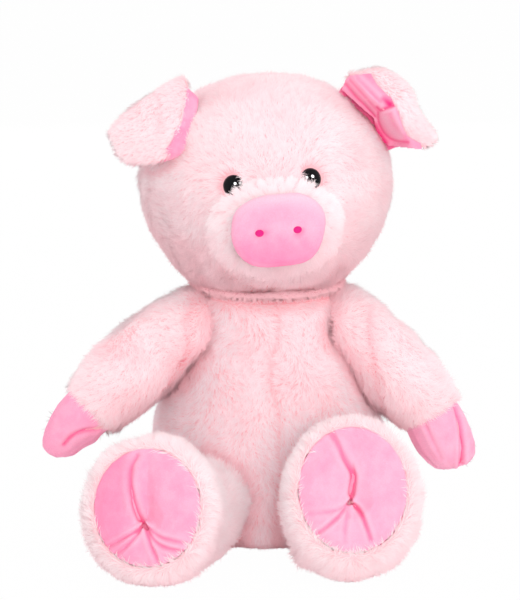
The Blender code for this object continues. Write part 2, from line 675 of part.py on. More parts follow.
def hoof_rings(side, inset, back=0.0, sides=limb_sides):
    wrist = outward_point(side, shoulder(side), arm_routes_shares[side][-1], arm_length)
    way = outward_point(side, Vector((0, 0, 0)), hoof_ways_shares[side], 1).normalized()
    across, up = section_axes(way)
    rings = []
    for length, depth, width in hoof_profile_shares[side]:
        place = wrist + way * (seam_gap - back if length == 0 else (hoof_length - inset) * length)
        rings.append(oval(place, across, up, hoof_depth * depth - inset, hoof_radius * width - inset, sides))
    rings.append([wrist + way * (hoof_length - inset)])
    return rings


def cleft(name, side, inflate):
    """The wedge between the two toes, from the tip inward."""
    wrist = outward_point(side, shoulder(side), arm_routes_shares[side][-1], arm_length)
    way = outward_point(side, Vector((0, 0, 0)), hoof_ways_shares[side], 1).normalized()
    across, up = section_axes(way, math.radians(cleft_turn_deg) * side_sign(side))
    rings = []
    for along, half in ((hoof_length * (1 - cleft_share) - inflate, cleft_width * 0.2 + inflate),
                        (hoof_length + overrun, cleft_width * 0.9 + inflate)):
        middle = wrist + way * along
        reach = hoof_radius + overrun
        rings.append([middle + across * half + up * reach, middle - across * half + up * reach,
                      middle - across * half - up * reach, middle + across * half - up * reach])
    return lofted(name, rings)


for side in ("left", "right"):
    joint = (shoulder(side), arm_radius, Vector((0, -side_sign(side), 0)), arm_limits_deg)
    room = lofted(f"arm_room_{side}", arm_rings(side, fur_wall, past=overrun, rows=6, sides=core_sides))
    rooted(room, f"arm_room_{side}", *joint, fur_wall, sides=core_sides, rows=core_rows)
    arm_cover = lofted(f"arm_cover_{side}", arm_rings(side, 0), pink_fur)
    rooted(arm_cover, f"arm_cover_{side}", *joint, 0)
    cut_by(arm_cover, room, solver="MANIFOLD")
    hoof_room = lofted(f"hoof_room_{side}", hoof_rings(side, velour_wall, back=overrun, sides=core_sides))
    cut_by(hoof_room, cleft(f"cleft_room_{side}", side, velour_wall))
    cut_by(lofted(f"hoof_{side}", hoof_rings(side, 0), pink_velour), cleft(f"cleft_{side}", side, 0), hoof_room)
    core = arm_rings(side, fur_wall + filling_gap, rows=6, sides=core_sides)[:-1]
    core += hoof_rings(side, velour_wall + filling_gap, sides=core_sides)
    filling = lofted(f"arm_filling_{side}", core, fibre_filling)
    rooted(filling, f"arm_filling_{side}", *joint, fur_wall + filling_gap, sides=core_sides, rows=core_rows)
    cut_by(filling, cleft(f"cleft_core_{side}", side, velour_wall + filling_gap), solver="MANIFOLD")

# Legs: fur cover ending in the foot, gathered velour sole with its knot, and filling


def direction(side, shares):
    return Vector((side_sign(side) * shares[0], -shares[1], shares[2])).normalized()


def foot_centre(side):
    return hip(side) + Vector((side_sign(side) * leg_routes_shares[side][-1][0], -leg_routes_shares[side][-1][1],
                               leg_routes_shares[side][-1][2])) * leg_length


def sole_frame(side):
    way = direction(side, sole_ways_shares[side])
    across, up = section_axes(way)
    middle = foot_centre(side) + way * foot_depth
    return middle + up * sole_lifts[side] + across * side_sign(side) * sole_outs[side], across, up, way


def foot_ring(side, depth, inset, opening, sides):
    """A section between the foot's widest, depth 0, and its sole, depth 1."""
    centre, across, up, way = sole_frame(side)
    table = np.array([(0.0, 0.0), *foot_rim_shares, (1.0, 1.0)])
    spread = np.interp(depth, table[:, 0], table[:, 1])
    half_width = (foot_width / 2 - inset) * (1 - spread) + (sole_width / 2 + opening) * spread
    half_height = (foot_heights[side] / 2 - inset) * (1 - spread) + (sole_heights[side] / 2 + opening) * spread
    return oval(foot_centre(side).lerp(centre, depth), across, up, half_width, half_height, sides)


def leg_rings(side, inset, opening, short=0.0, rows=7, sides=limb_sides):
    """The leg to its sole, or to a little short of it; the last ring is larger than the sole by the opening."""
    route = [hip(side) + Vector((side_sign(side) * out, -forward, up)) * leg_length
             for out, forward, up in leg_routes_shares[side]]
    way = direction(side, sole_ways_shares[side])
    half_width, half_height = foot_width / 2, foot_heights[side] / 2
    widths = [leg_radius, calf_width, (calf_width + half_width) / 2, half_width]
    heights = [leg_radius, calf_height, (calf_height + half_height) / 2, half_height]
    rings = swept(route, widths, heights, inset, sides, rows, way)
    last = 1 - short / foot_depth
    for depth in [depth for depth, _ in foot_rim_shares if depth < last] + [last]:
        rings.append(foot_ring(side, depth, inset, opening, sides))
    return rings


def sole_relief(x, y):
    """How far the sole stands proud, from places as shares of its half width and half height."""
    radius = min(1.0, math.hypot(x, y))
    dome = sole_dome * math.sqrt(max(0.0, 1 - radius**2))
    below = min(0.0, y - sole_gather_share)
    seam = sole_groove * math.exp(-((x**2 + below**2) / sole_seam_share**2)) * (1 - radius**3)
    gather = sole_gather * math.exp(-(x**2 + (y - sole_gather_share) ** 2) / sole_gather_width_share**2)
    return dome - seam - gather


def sole(side):
    centre, across, up, way = sole_frame(side)
    half_width, half_height = sole_width / 2, sole_heights[side] / 2

    def row(spread, behind):
        made = []
        for index in range(1 if spread == 0 else sole_sides):
            turn = 2 * math.pi * index / sole_sides
            x, y = spread * math.cos(turn), spread * math.sin(turn) + (1 - spread) * sole_gather_share
            made.append(centre + across * (x * half_width) + up * (y * half_height)
                        + way * (sole_relief(x, y) - behind))
        return made

    rings = [row(spread, velour_wall) for spread in sole_spread_shares]
    rings += [row(spread, 0) for spread in reversed(sole_spread_shares)]
    lofted(f"sole_{side}", rings, pink_velour)
    place = centre + up * (half_height * sole_gather_share)
    nearest = row(sole_spread_shares[1], 0)[0] - place
    rise = knot_length / 2 / nearest.dot(across)
    lift = sole_relief(0, sole_gather_share) * (1 - rise) + nearest.dot(way) * rise + seam_gap + knot_radius
    profile = [(0, 0), *[(knot_length * along, knot_radius * thick) for along, thick in knot_profile_shares],
               (knot_length, 0)]
    turned(f"sole_knot_{side}", place + way * lift - across * (knot_length / 2), across, profile,
           pink_thread, sides=8)


for side in ("left", "right"):
    joint = (hip(side), leg_radius, Vector((-1, 0, 0)), leg_limits_deg)
    room = lofted(f"leg_room_{side}", leg_rings(side, fur_wall, -sole_ledge, sides=core_sides), split=True)
    rooted(room, f"leg_room_{side}", *joint, fur_wall, sides=core_sides, rows=core_rows)
    way = direction(side, sole_ways_shares[side])
    rim = foot_ring(side, 1.0, 0, seam_gap, sole_sides)
    sole_room = lofted(f"sole_room_{side}", [[point - way * (velour_wall + seam_gap) for point in rim],
                                             [point + way * overrun for point in rim]])
    leg_cover = lofted(f"leg_cover_{side}", leg_rings(side, 0, seam_gap + sole_lip), pale_fur, floor=0)
    rooted(leg_cover, f"leg_cover_{side}", *joint, 0)
    cut_by(leg_cover, room, sole_room, solver="MANIFOLD")
    core_end = velour_wall + seam_gap + sole_gather
    filling = lofted(f"leg_filling_{side}", leg_rings(side, fur_wall + filling_gap, -sole_ledge - filling_gap,
                                                      short=core_end, sides=core_sides),
                     fibre_filling, split=True)
    rooted(filling, f"leg_filling_{side}", *joint, fur_wall + filling_gap, sides=core_sides, rows=core_rows)
    sole(side)

# Tail: a stuffed cord with one curl
def tail_rings(sides=8, steps=18):
    root = tail_seat
    rings = [[root - Vector((0, tail_radius, 0))]]
    route = [root, root + Vector((0, tail_root_length, 0))]
    middle = route[-1] + Vector((0, 0, tail_curl_radius))
    for index in range(1, steps + 1):
        turn = 2 * math.pi * tail_turns * index / steps
        route.append(middle + Vector((tail_pitch * tail_turns * index / steps,
                                      tail_curl_radius * math.sin(turn), -tail_curl_radius * math.cos(turn))))
    for angle in (25, 50, 75):
        back, radius = tail_radius * math.cos(math.radians(angle)), tail_radius * math.sin(math.radians(angle))
        rings.append(oval(root - Vector((0, back, 0)), Vector((1, 0, 0)), Vector((0, 0, 1)), radius, radius, sides))
    last = len(route) - 1
    for index, place in enumerate(route):
        along = (route[min(index + 1, last)] - route[max(index - 1, 0)]).normalized()
        across = (Vector((1, 0, 0)) - along * along.x).normalized()
        radius = tail_radius + (tail_tip_radius - tail_radius) * index / last
        rings.append(oval(place, across, across.cross(along), radius, radius, sides))
    rings.append([route[-1] + (route[-1] - route[-2]).normalized() * tail_tip_radius])
    return rings


lofted("tail", tail_rings(), pink_velour)


def hang(pivot_name, pivot, *names):
    """Hangs pieces that move together on an empty at their joint."""
    empty = bpy.data.objects.new(pivot_name, None)
    empty.location = pivot
    bpy.context.scene.collection.objects.link(empty)
    for name in names:
        piece = bpy.data.objects[name]
        piece.parent = empty
        piece.matrix_parent_inverse = Matrix.Translation(-pivot)
    return empty


# Joints: each group of pieces hangs at the point that it turns about
neck_pivot = hang("neck_pivot", head_centre, "neck_thread")
head_pivot = hang("head_pivot", head_centre, "head_cover", "head_filling", "muzzle_cover", "muzzle_filling",
                  "snout_pad", *[f"{piece}_{side}" for piece in ("nostril", "eye", "eye_washer")
                                 for side in ("left", "right")])
head_pivot.parent = neck_pivot
head_pivot.matrix_parent_inverse = Matrix.Translation(-head_centre)
for side in ("left", "right"):
    hang(f"arm_{side}_pivot", shoulder(side), f"arm_cover_{side}", f"arm_filling_{side}", f"hoof_{side}")
    hang(f"leg_{side}_pivot", hip(side), f"leg_cover_{side}", f"leg_filling_{side}", f"sole_{side}",
         f"sole_knot_{side}")
    seat, down, outward, forward = ear_axes(side)
    ear_pivot = hang(f"ear_{side}_pivot", seat, f"ear_outer_{side}", f"ear_lining_{side}")
    ear_pivot.parent = head_pivot
    ear_pivot.matrix_parent_inverse = Matrix.Translation(-head_centre)
hang("tail_pivot", tail_seat, "tail")
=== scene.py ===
import itertools
import math

import bpy
import numpy as np
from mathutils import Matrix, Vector
from mathutils.bvhtree import BVHTree


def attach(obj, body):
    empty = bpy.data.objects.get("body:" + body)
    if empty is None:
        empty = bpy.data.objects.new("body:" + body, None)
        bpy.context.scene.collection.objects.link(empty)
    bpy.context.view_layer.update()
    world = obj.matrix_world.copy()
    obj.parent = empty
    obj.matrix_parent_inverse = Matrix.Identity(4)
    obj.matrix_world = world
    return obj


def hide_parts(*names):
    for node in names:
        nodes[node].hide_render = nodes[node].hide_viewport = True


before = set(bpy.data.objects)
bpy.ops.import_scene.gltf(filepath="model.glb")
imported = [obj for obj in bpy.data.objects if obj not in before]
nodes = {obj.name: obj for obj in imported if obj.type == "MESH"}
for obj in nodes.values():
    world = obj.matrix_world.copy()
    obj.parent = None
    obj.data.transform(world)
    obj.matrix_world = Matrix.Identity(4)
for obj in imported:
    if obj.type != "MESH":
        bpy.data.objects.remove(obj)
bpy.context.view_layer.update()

scene = bpy.context.scene

# Left and right are the pig's own: its left is at +X, on the viewer's right.


def placed(name, data):
    piece = bpy.data.objects.new(name, data)
    scene.collection.objects.link(piece)
    return piece


# Shader groups

white = (1, 1, 1, 1)


def shaderGroup(name, inputs, outputs):
    # A number makes a float socket, and four numbers make a colour socket.
    group = bpy.data.node_groups.new(name, "ShaderNodeTree")
    for way, sockets in (("INPUT", inputs), ("OUTPUT", outputs)):
        for label, value in sockets.items():
            kind = "NodeSocketFloat" if isinstance(value, float) else "NodeSocketColor"
            socket = group.interface.new_socket(name=label, in_out=way, socket_type=kind)
            socket.default_value = value
    return group, group.nodes.new("NodeGroupInput"), group.nodes.new("NodeGroupOutput")


def linked(tree, kind, inputs=(), **settings):
    # A new node with these settings. An input takes a value, or the socket that feeds it.
    node = tree.nodes.new("ShaderNode" + kind)
    for key, value in settings.items():
        setattr(node, key, value)
    for key, value in dict(inputs).items():
        if isinstance(value, bpy.types.NodeSocket):
            tree.links.new(value, node.inputs[key])
        else:
            node.inputs[key].default_value = value
    return node


def ranged(tree, value, **limits):
    # A value mapped from 0 to 1, or from these limits to others.
    named = {f"{key[:-3].capitalize()} {key[-3:]}": limit for key, limit in limits.items()}
    return linked(tree, "MapRange", {"Value": value, **named})


def scaledColour(tree, colour, factor):
    return linked(tree, "VectorMath", {0: colour, "Scale": factor}, operation="SCALE").outputs[0]


def mixedColour(tree, factor, first, second):
    # For colours, the node's factor is input 0, and its colours are inputs 6 and 7 and output 2.
    return linked(tree, "Mix", {0: factor, 6: first, 7: second}, data_type="RGBA").outputs[2]


def pileGroup():
    # The colour along a hair: deep at the root, partly its own tone and partly painted shade down among the hairs,
    # pale at the tip, each hair a little of its own. Patch turns the tip to the deep tone, in random patches and as
    # painted shade.
    group, given, out = shaderGroup(
        "pileTone", {"Along": 0.5, "Chance": 0.5, "Patch": 0.5, "Root": white, "Tip": white, "Deep": white},
        {"Color": white})
    ramp = ranged(group, given.outputs["Along"], fromMin=0.1, fromMax=0.85)
    ramp.interpolation_type = "SMOOTHSTEP"
    tip = mixedColour(group, given.outputs["Patch"], given.outputs["Tip"], given.outputs["Deep"])
    along = mixedColour(group, ramp.outputs["Result"], given.outputs["Root"], tip)
    light = ranged(group, given.outputs["Chance"], toMin=0.93, toMax=1.04)
    group.links.new(scaledColour(group, along, light.outputs["Result"]), out.inputs["Color"])
    return group


def napGroup():
    # Brushed velour: broad paler and deeper patches, and the fine grain of the nap as height.
    # Fold mixes in the deep tone, mostly as painted shade, and Edge the pale tone, as painted light and painted
    # sheen.
    group, given, out = shaderGroup(
        "napTone", {"Fold": 0.0, "Edge": 0.0, "Base": white, "Deep": white, "Light": white,
                    "Patch Scale": 90.0, "Grain Scale": 1400.0}, {"Color": white, "Height": 0.0})
    place = group.nodes.new("ShaderNodeTexCoord").outputs["Object"]
    patch = linked(group, "TexNoise", {
        "Vector": place, "Scale": given.outputs["Patch Scale"], "Detail": 4.0, "Roughness": 0.6})
    grain = linked(group, "TexNoise", {"Vector": place, "Scale": given.outputs["Grain Scale"], "Detail": 2.0})
    low = ranged(group, patch.outputs["Fac"], fromMin=0.3, fromMax=0.55, toMin=0.6)
    high = ranged(group, patch.outputs["Fac"], fromMin=0.5, fromMax=0.85, toMax=0.45)
    lit = linked(group, "Math", {0: high.outputs["Result"], 1: given.outputs["Edge"]}, operation="MAXIMUM")
    half = mixedColour(group, 0.5, given.outputs["Base"], given.outputs["Deep"])
    mottled = mixedColour(group, low.outputs["Result"], half, given.outputs["Base"])
    bright = mixedColour(group, lit.outputs[0], mottled, given.outputs["Light"])
    pale = mixedColour(group, given.outputs["Fold"], bright, given.outputs["Deep"])
    speck = ranged(group, grain.outputs["Fac"], toMin=0.86, toMax=1.14)
    group.links.new(scaledColour(group, pale, speck.outputs["Result"]), out.inputs["Color"])
    group.links.new(grain.outputs["Fac"], out.inputs["Height"])
    return group


pileTone = pileGroup()
napTone = napGroup()


def emptyMaterial(name, values):
    made = bpy.data.materials.new(name)
    made.use_nodes = True
    shader = made.node_tree.nodes["Principled BSDF"]
    for key, value in values.items():
        shader.inputs[key].default_value = value
    return made, made.node_tree, shader


def toneNode(tree, group, look, colours):
    return linked(tree, "Group", {key.capitalize(): (*look[key], 1.0) for key in colours}, node_tree=group)


def channels(tree, attribute):
    marks = linked(tree, "Attribute", attribute_name=attribute)
    return linked(tree, "SeparateColor", {"Color": marks.outputs["Color"]}).outputs


def pileMaterial(name, look):
    made, tree, shader = emptyMaterial(name, {"Roughness": look["roughness"], "Specular IOR Level": look["shine"]})
    tone = toneNode(tree, pileTone, look, ("root", "tip", "deep"))
    split = channels(tree, "tint")
    for key, channel in (("Along", "Red"), ("Chance", "Green"), ("Patch", "Blue")):
        tree.links.new(split[channel], tone.inputs[key])
    tree.links.new(tone.outputs["Color"], shader.inputs["Base Color"])
    # The blades are lit by the normal of the skin they stand on, which turns with the piece.
    lay = linked(tree, "Attribute", attribute_name="lay")
    turned = linked(tree, "VectorTransform", {"Vector": lay.outputs["Vector"]},
                    vector_type="NORMAL", convert_from="OBJECT", convert_to="WORLD")
    tree.links.new(turned.outputs["Vector"], shader.inputs["Normal"])
    through = linked(tree, "BsdfTranslucent", {"Color": tone.outputs["Color"]})
    both = linked(tree, "MixShader", {0: look["through"], 1: shader.outputs[0], 2: through.outputs[0]})
    tree.links.new(both.outputs[0], tree.nodes["Material Output"].inputs["Surface"])
    return made


def napMaterial(name, look):
    made, tree, shader = emptyMaterial(name, {
        "Roughness": look["roughness"], "Specular IOR Level": look["shine"], "Sheen Weight": look["sheen"],
        "Sheen Roughness": look["sheenRoughness"], "Sheen Tint": (*look["light"], 1.0)})
    tone = toneNode(tree, napTone, look, ("base", "deep", "light"))
    tone.inputs["Patch Scale"].default_value = look["patch"]
    # The marks' red is the deeper tone of folds, mostly painted shade, and their green the paler tone of edges,
    # painted light.
    split = channels(tree, "marks")
    tree.links.new(split["Red"], tone.inputs["Fold"])
    tree.links.new(split["Green"], tone.inputs["Edge"])
    tree.links.new(tone.outputs["Color"], shader.inputs["Base Color"])
    rise = linked(tree, "Bump", {
        "Strength": look["bump"], "Distance": look["bumpHeight"], "Height": tone.outputs["Height"]})
    tree.links.new(rise.outputs["Normal"], shader.inputs["Normal"])
    return made


# The photograph's camera, and where a point of the object falls in its picture

photo = {"width": 520, "height": 600, "aim": (-0.005, 0.0, 0.151), "reach": 1.3, "lift": 12, "swing": -4,
         "lens": 81.25, "sensor": 24}
halfWidth, halfHeight = photo["width"] / 2, photo["height"] / 2
focal = photo["height"] / photo["sensor"] * photo["lens"]  # in pixels
lift, swing = math.radians(photo["lift"]), math.radians(photo["swing"])
back = np.array((math.sin(swing) * math.cos(lift), -math.cos(swing) * math.cos(lift), math.sin(lift)))
rightward = np.cross(-back, (0, 0, 1))
rightward /= np.linalg.norm(rightward)
upward = np.cross(rightward, -back)
eyePoint = np.array(photo["aim"]) + back * photo["reach"]


def inPicture(points):
    ray = points - eyePoint
    depth = ray @ -back
    return np.stack([halfWidth + focal * (ray @ rightward) / depth, halfHeight - focal * (ray @ upward) / depth], 1)


def rayThrough(x, y):
    way = -back + rightward * (x - halfWidth) / focal + upward * (halfHeight - y) / focal
    return way / np.linalg.norm(way)


def drawn(text):
    # Points of the picture, written as "x,y x,y".
    return [tuple(float(value) for value in spot.split(",")) for spot in text.split()]


def lineGap(spots, line):
    # Distance of picture points from a drawn line, and how far along it they are.
    line = np.array(line, float)
    steps = np.linalg.norm(np.diff(line, axis=0), axis=1)
    reached = np.concatenate([[0], np.cumsum(steps)]) / steps.sum()
    best, along = np.full(len(spots), np.inf), np.zeros(len(spots))
    for k in range(len(line) - 1):
        way = line[k + 1] - line[k]
        share = (((spots - line[k]) @ way) / (way @ way)).clip(0, 1)
        gap = np.linalg.norm(spots - line[k] - share[:, None] * way, axis=1)
        closer = gap < best
        best[closer] = gap[closer]
        along[closer] = (reached[k] + share * (reached[k + 1] - reached[k]))[closer]
    return best, along


def within(spots, outline):
    # Which picture points lie inside a drawn outline.
    inner = np.zeros(len(spots), bool)
    for (x0, y0), (x1, y1) in zip(outline, outline[1:] + outline[:1]):
        crosses = (spots[:, 1] > y0) != (spots[:, 1] > y1)
        height = y1 - y0 if y1 != y0 else 1e-9
        inner ^= crosses & (spots[:, 0] < x0 + (spots[:, 1] - y0) * (x1 - x0) / height)
    return inner


def rounded(line, count=24):
    # The drawn line through smooth curves, as Catmull-Rom pieces.
    line = np.array(line, float)
    ends = np.vstack([2 * line[0] - line[1], line, 2 * line[-1] - line[-2]])
    made = []
    for s in np.linspace(0, len(line) - 1, count):
        k = min(int(s), len(line) - 2)
        u = s - k
        a, b, c, d = ends[k:k + 4]
        made.append(0.5 * (2 * b + (c - a) * u + (2 * a - 5 * b + 4 * c - d) * u ** 2
                           + (3 * b - a - 3 * c + d) * u ** 3))
    return np.array(made)


def warped(form, moves, spread, slack=0.05):
    # Slides a form sideways in the picture, so that drawn points of its outline come to others.
    starts, ends = (np.array(drawn(" ".join(part))) for part in zip(*(move.split(">") for move in moves.split())))
    near = lambda spots: np.exp(-((spots[:, None] - starts[None]) ** 2).sum(2) / (2 * spread ** 2))
    weights = np.linalg.solve(near(starts) + slack * np.eye(len(starts)), ends - starts)
    shift = near(inPicture(form["points"])) @ weights
    depth = (form["points"] - eyePoint) @ -back
    form["points"] = form["points"] + (shift[:, :1] * rightward - shift[:, 1:] * upward) * (depth / focal)[:, None]


# A crease fades where the surface turns away, and its ridges stand at both sides of it.
# Its colour is painted deeper in it, as painted shade, and paler on its ridges, as painted light.
creaseLook = {"facing": 3, "turned": 0.3, "ridgeAway": 2.6, "ridgeWidth": 1.4, "ridgeTone": 0.8}


def creased(form, line, depth, width, fold=1.0, ends=(1.0, 1.0), ridge=0.0):
    # Presses a crease into the side that the camera sees, along a line drawn in its picture.
    gap, along = lineGap(inPicture(form["points"]), rounded(drawn(line)))
    front = ((form["normals"] @ back) * creaseLook["facing"] - creaseLook["turned"]).clip(0, 1)
    if "front" in form:
        front[form["front"]:] = 0
    fade = (ends[0] + (ends[1] - ends[0]) * along) * front
    press = np.exp(-(gap / width) ** 2) * fade
    aside = (gap - creaseLook["ridgeAway"] * width) / (creaseLook["ridgeWidth"] * width)
    swell = np.exp(-aside ** 2) * fade * ridge
    form["points"] = form["points"] - form["normals"] * (depth * (press - swell))[:, None]
    # A raised line is painted paler, as painted light, and not deeper.
    if depth < 0:  # a raised line is paler and not deeper
        swell = press * fold
        fold = 0
    # The fold tone paints shade into the crease, and the edge tone paints light on its ridges.
    form["fold"] = np.maximum(form["fold"], (press * fold).clip(0, 1))
    form["edge"] = np.maximum(form["edge"], (swell * creaseLook["ridgeTone"]).clip(0, 1))


# Forms

def formOf(members, voxel, rounds, out):
    # A closed smooth skin over these CAD pieces, as points, normals and faces.
    points, faces, start = [], [], 0
    for member in members:
        mesh = nodes[member].data
        points += [v.co[:] for v in mesh.vertices]
        faces += [[i + start for i in p.vertices] for p in mesh.polygons]
        start += len(mesh.vertices)
    mesh = bpy.data.meshes.new("joined")
    mesh.from_pydata(points, [], faces)
    holder = placed("joined", mesh)
    remesh = holder.modifiers.new("remesh", "REMESH")
    remesh.mode = "VOXEL"
    remesh.voxel_size = voxel
    smooth = holder.modifiers.new("smooth", "SMOOTH")
    smooth.factor = 0.5
    smooth.iterations = rounds
    result = holder.evaluated_get(bpy.context.evaluated_depsgraph_get()).to_mesh()
    places, normals = np.zeros((2, len(result.vertices) * 3))
    result.vertices.foreach_get("co", places)
    result.vertices.foreach_get("normal", normals)
    quads = [list(p.vertices) for p in result.polygons]
    bpy.data.objects.remove(holder)
    places, normals = places.reshape(-1, 3), normals.reshape(-1, 3)
    return {"points": places + normals * out, "normals": normals, "faces": quads,
            "fold": np.zeros(len(places)), "edge": np.zeros(len(places))}


def treeOf(form):
    return BVHTree.FromPolygons([Vector(p) for p in form["points"]], form["faces"])


# The step is in pixels. Every few rounds but the last, the cloth is laid back over what it covers.
drapeLook = {
    "out": 0.0032, "step": 0.8, "rounds": 190, "restEvery": 10, "restAt": 4, "lastRounds": 40, "thick": 0.0004,
}


def drapedOver(forms, outline, out, step, rounds, restEvery, restAt, lastRounds, thick):
    # Cloth that spans the outline as the camera sees it, smoothed over what lies behind it, with a back to close it.
    xs = np.arange(min(x for x, _ in outline), max(x for x, _ in outline) + step, step)
    ys = np.arange(min(y for _, y in outline), max(y for _, y in outline) + step, step)
    grid = np.stack(np.meshgrid(xs, ys), -1)
    inner = within(grid.reshape(-1, 2), outline).reshape(grid.shape[:2])
    trees = [treeOf(form) for form in forms]
    hits = np.full(inner.shape, np.nan)
    for j, i in np.argwhere(inner):
        ray = Vector(rayThrough(*grid[j, i]))
        found = [tree.ray_cast(Vector(eyePoint), ray)[3] for tree in trees]
        found = [value for value in found if value is not None]
        if found:
            hits[j, i] = min(found)
    depth = np.where(np.isnan(hits), np.nanmedian(hits), hits)
    for turn in range(rounds):
        for axis in (0, 1):
            padding = [(1, 1) if k == axis else (0, 0) for k in (0, 1)]
            known = np.pad(np.where(inner, depth, 0.0), padding)
            share = np.pad(inner.astype(float), padding)
            length = inner.shape[axis]
            total, weight = (np.take(field, range(length), axis) + 2 * np.take(field, range(1, length + 1), axis)
                             + np.take(field, range(2, length + 2), axis) for field in (known, share))
            depth = np.where(inner, total / np.maximum(weight, 1), depth)
        if turn % restEvery == restAt and turn < rounds - lastRounds:
            depth = np.fmin(depth, hits)
    place = {(j, i): k for k, (j, i) in enumerate(map(tuple, np.argwhere(inner)))}
    count = len(place)
    spots = [(grid[key], depth[key]) for key in place]
    top = np.array([eyePoint + rayThrough(*spot) * (reached - out) for spot, reached in spots])
    under = np.array([eyePoint + rayThrough(*spot) * (reached + thick) for spot, reached in spots])
    faces, sides = [], set()
    for j, i in place:
        corners = [(j, i), (j + 1, i), (j + 1, i + 1), (j, i + 1)]
        if all(c in place for c in corners):
            faces.append([place[c] for c in corners])
    for face in faces:
        sides |= set(zip(face, face[1:] + face[:1]))
    walls = [[b, a, a + count, b + count] for a, b in sides if (b, a) not in sides]
    backs = [[i + count for i in reversed(face)] for face in faces]
    zero = np.zeros(2 * count)
    return {"points": np.concatenate([top, under]), "normals": np.tile(back, (2 * count, 1)),
            "faces": faces + backs + walls, "fold": zero, "edge": zero.copy(), "front": count}


def ringFaces(rings, sides):
    corners = [(0, 0), (0, 1), (1, 1), (1, 0)]
    return [[(k + up) * sides + (j + on) % sides for up, on in corners] for k in range(rings) for j in range(sides)]


rollLook = {"thick": 0.0024, "count": 40, "sides": 14, "tip": 0.25, "taper": 5}


def rolled(inner, outer, depths, thick, count, sides, tip, taper):
    # A padded roll between two drawn lines, its ends drawn in.
    left, right = rounded(inner, count), rounded(outer, count)
    points, normals = [], []
    for k in range(count):
        centre = eyePoint + rayThrough(*((left[k] + right[k]) / 2)) * depths[k]
        across = rayThrough(*right[k]) * depths[k] - rayThrough(*left[k]) * depths[k]
        scale = min(1.0, tip + taper * min(k, count - 1 - k) / count)
        for j in range(sides):
            turn = 2 * math.pi * j / sides
            way = across / 2 * math.cos(turn) + back * thick * math.sin(turn)
            points.append(centre + way * scale)
            normals.append(way / np.linalg.norm(way))
    caps = [list(reversed(range(sides))), list(range((count - 1) * sides, count * sides))]
    zero = np.zeros(len(points))
    return {"points": np.array(points), "normals": np.array(normals), "faces": ringFaces(count - 1, sides) + caps,
            "fold": zero, "edge": zero.copy()}


def shownForm(name, form, finish, body, stands=()):
    mesh = bpy.data.meshes.new(name)
    mesh.from_pydata([tuple(p) for p in form["points"]], [], form["faces"])
    mesh.polygons.foreach_set("use_smooth", [True] * len(mesh.polygons))
    mesh.materials.append(finish)
    if "fold" in form:
        # The marks carry the deeper tone of folds, mostly painted shade, and the paler tone of edges, painted light.
        marks = mesh.color_attributes.new("marks", "FLOAT_COLOR", "POINT")
        values = np.ones((len(form["points"]), 4))
        values[:, 0], values[:, 1], values[:, 2] = form["fold"], form["edge"], 0
        marks.data.foreach_set("color", values.reshape(-1))
    piece = placed(name, mesh)
    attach(piece, body)
    if stands:
        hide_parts(*stands)
    return piece


def drift(points, scale, seed, waves=7, level=3.0):
    # Smooth noise from about -1 to 1 with waves of about that size.
    chance = np.random.default_rng(seed)
    total = np.zeros(len(points))
    for _ in range(waves):
        way = chance.normal(size=3)
        way *= 2 * math.pi / scale / np.linalg.norm(way) * chance.uniform(0.6, 1.5)
        total += np.sin(points @ way + chance.uniform(0, 2 * math.pi))
    return total / level


def nearestClump(points, cell, seed):
    # The nearest clump centre. There is one in each cell of a grid, placed by a hash of the cell's numbers.
    base = np.floor(points / cell).astype(np.int64)
    best = np.full(len(points), np.inf)
    centre = np.zeros_like(points)
    code = np.zeros(len(points))
    for step in itertools.product((-1, 0, 1), repeat=3):
        at = base + step
        mixed = (at[:, 0] * 73856093) ^ (at[:, 1] * 19349663) ^ (at[:, 2] * 83492791) ^ (seed * 2654435761)
        parts = []
        for shift in (0, 11, 23):
            mixed = (mixed * 6364136223846793005 + 1442695040888963407 + shift) & 0x7FFFFFFFFFFFFFFF
            parts.append(((mixed >> 20) & 0xFFFFF) / 1048576.0)
        spot = (at + np.stack(parts, 1)) * cell
        away = np.linalg.norm(spot - points, axis=1)
        closer = away < best
        best[closer] = away[closer]
        centre[closer] = spot[closer]
        code[closer] = parts[0][closer]
    return centre, best, code


def unit(vectors):
    return vectors / np.maximum(np.linalg.norm(vectors, axis=-1, keepdims=True), 1e-12)


def scattered(form, density, chance):
    # Random points of a form, with their normals and the fold tone there.
    triangles = np.array([(face[0], face[k], face[k + 1]) for face in form["faces"] for k in range(1, len(face) - 1)])
    a, b, c = (form["points"][triangles[:, k]] for k in range(3))
    area = np.linalg.norm(np.cross(b - a, c - a), axis=1) / 2
    counts = chance.poisson(area * density)
    pick = np.repeat(np.arange(len(triangles)), counts)
    u, v = chance.random(len(pick)), chance.random(len(pick))
    over = u + v > 1
    u[over], v[over] = 1 - u[over], 1 - v[over]
    w = 1 - u - v
    chosen = triangles[pick]
    mix = lambda field: (form[field][chosen[:, 0]] * w[:, None] + form[field][chosen[:, 1]] * u[:, None]
                         + form[field][chosen[:, 2]] * v[:, None])
    fold = (form["fold"][chosen] * np.stack([w, u, v], 1)).sum(1)
    return mix("points"), unit(mix("normals")), fold


def boxed(points, form, reach):
    low, high = form["points"].min(0) - reach, form["points"].max(0) + reach
    return ((points > low) & (points < high)).all(1)


def covered(points, members, reach):
    # Which points lie inside these forms or within reach of them.
    hidden = np.zeros(len(points), bool)
    for form in members:
        tree = treeOf(form)
        for k in np.flatnonzero(boxed(points, form, reach) & ~hidden):
            spot = Vector(points[k])
            near, normal, _, away = tree.find_nearest(spot)
            if away < reach or (spot - near).dot(normal) < 0:
                hidden[k] = True
    return hidden


def nearness(points, members, reach):
    # 1 where another form touches, 0 from that reach on.
    near = np.zeros(len(points))
    for form in members:
        tree = treeOf(form)
        for k in np.flatnonzero(boxed(points, form, reach)):
            away = tree.find_nearest(Vector(points[k]), reach)[3]
            if away is not None:
                near[k] = max(near[k], 1 - away / reach)
    return near


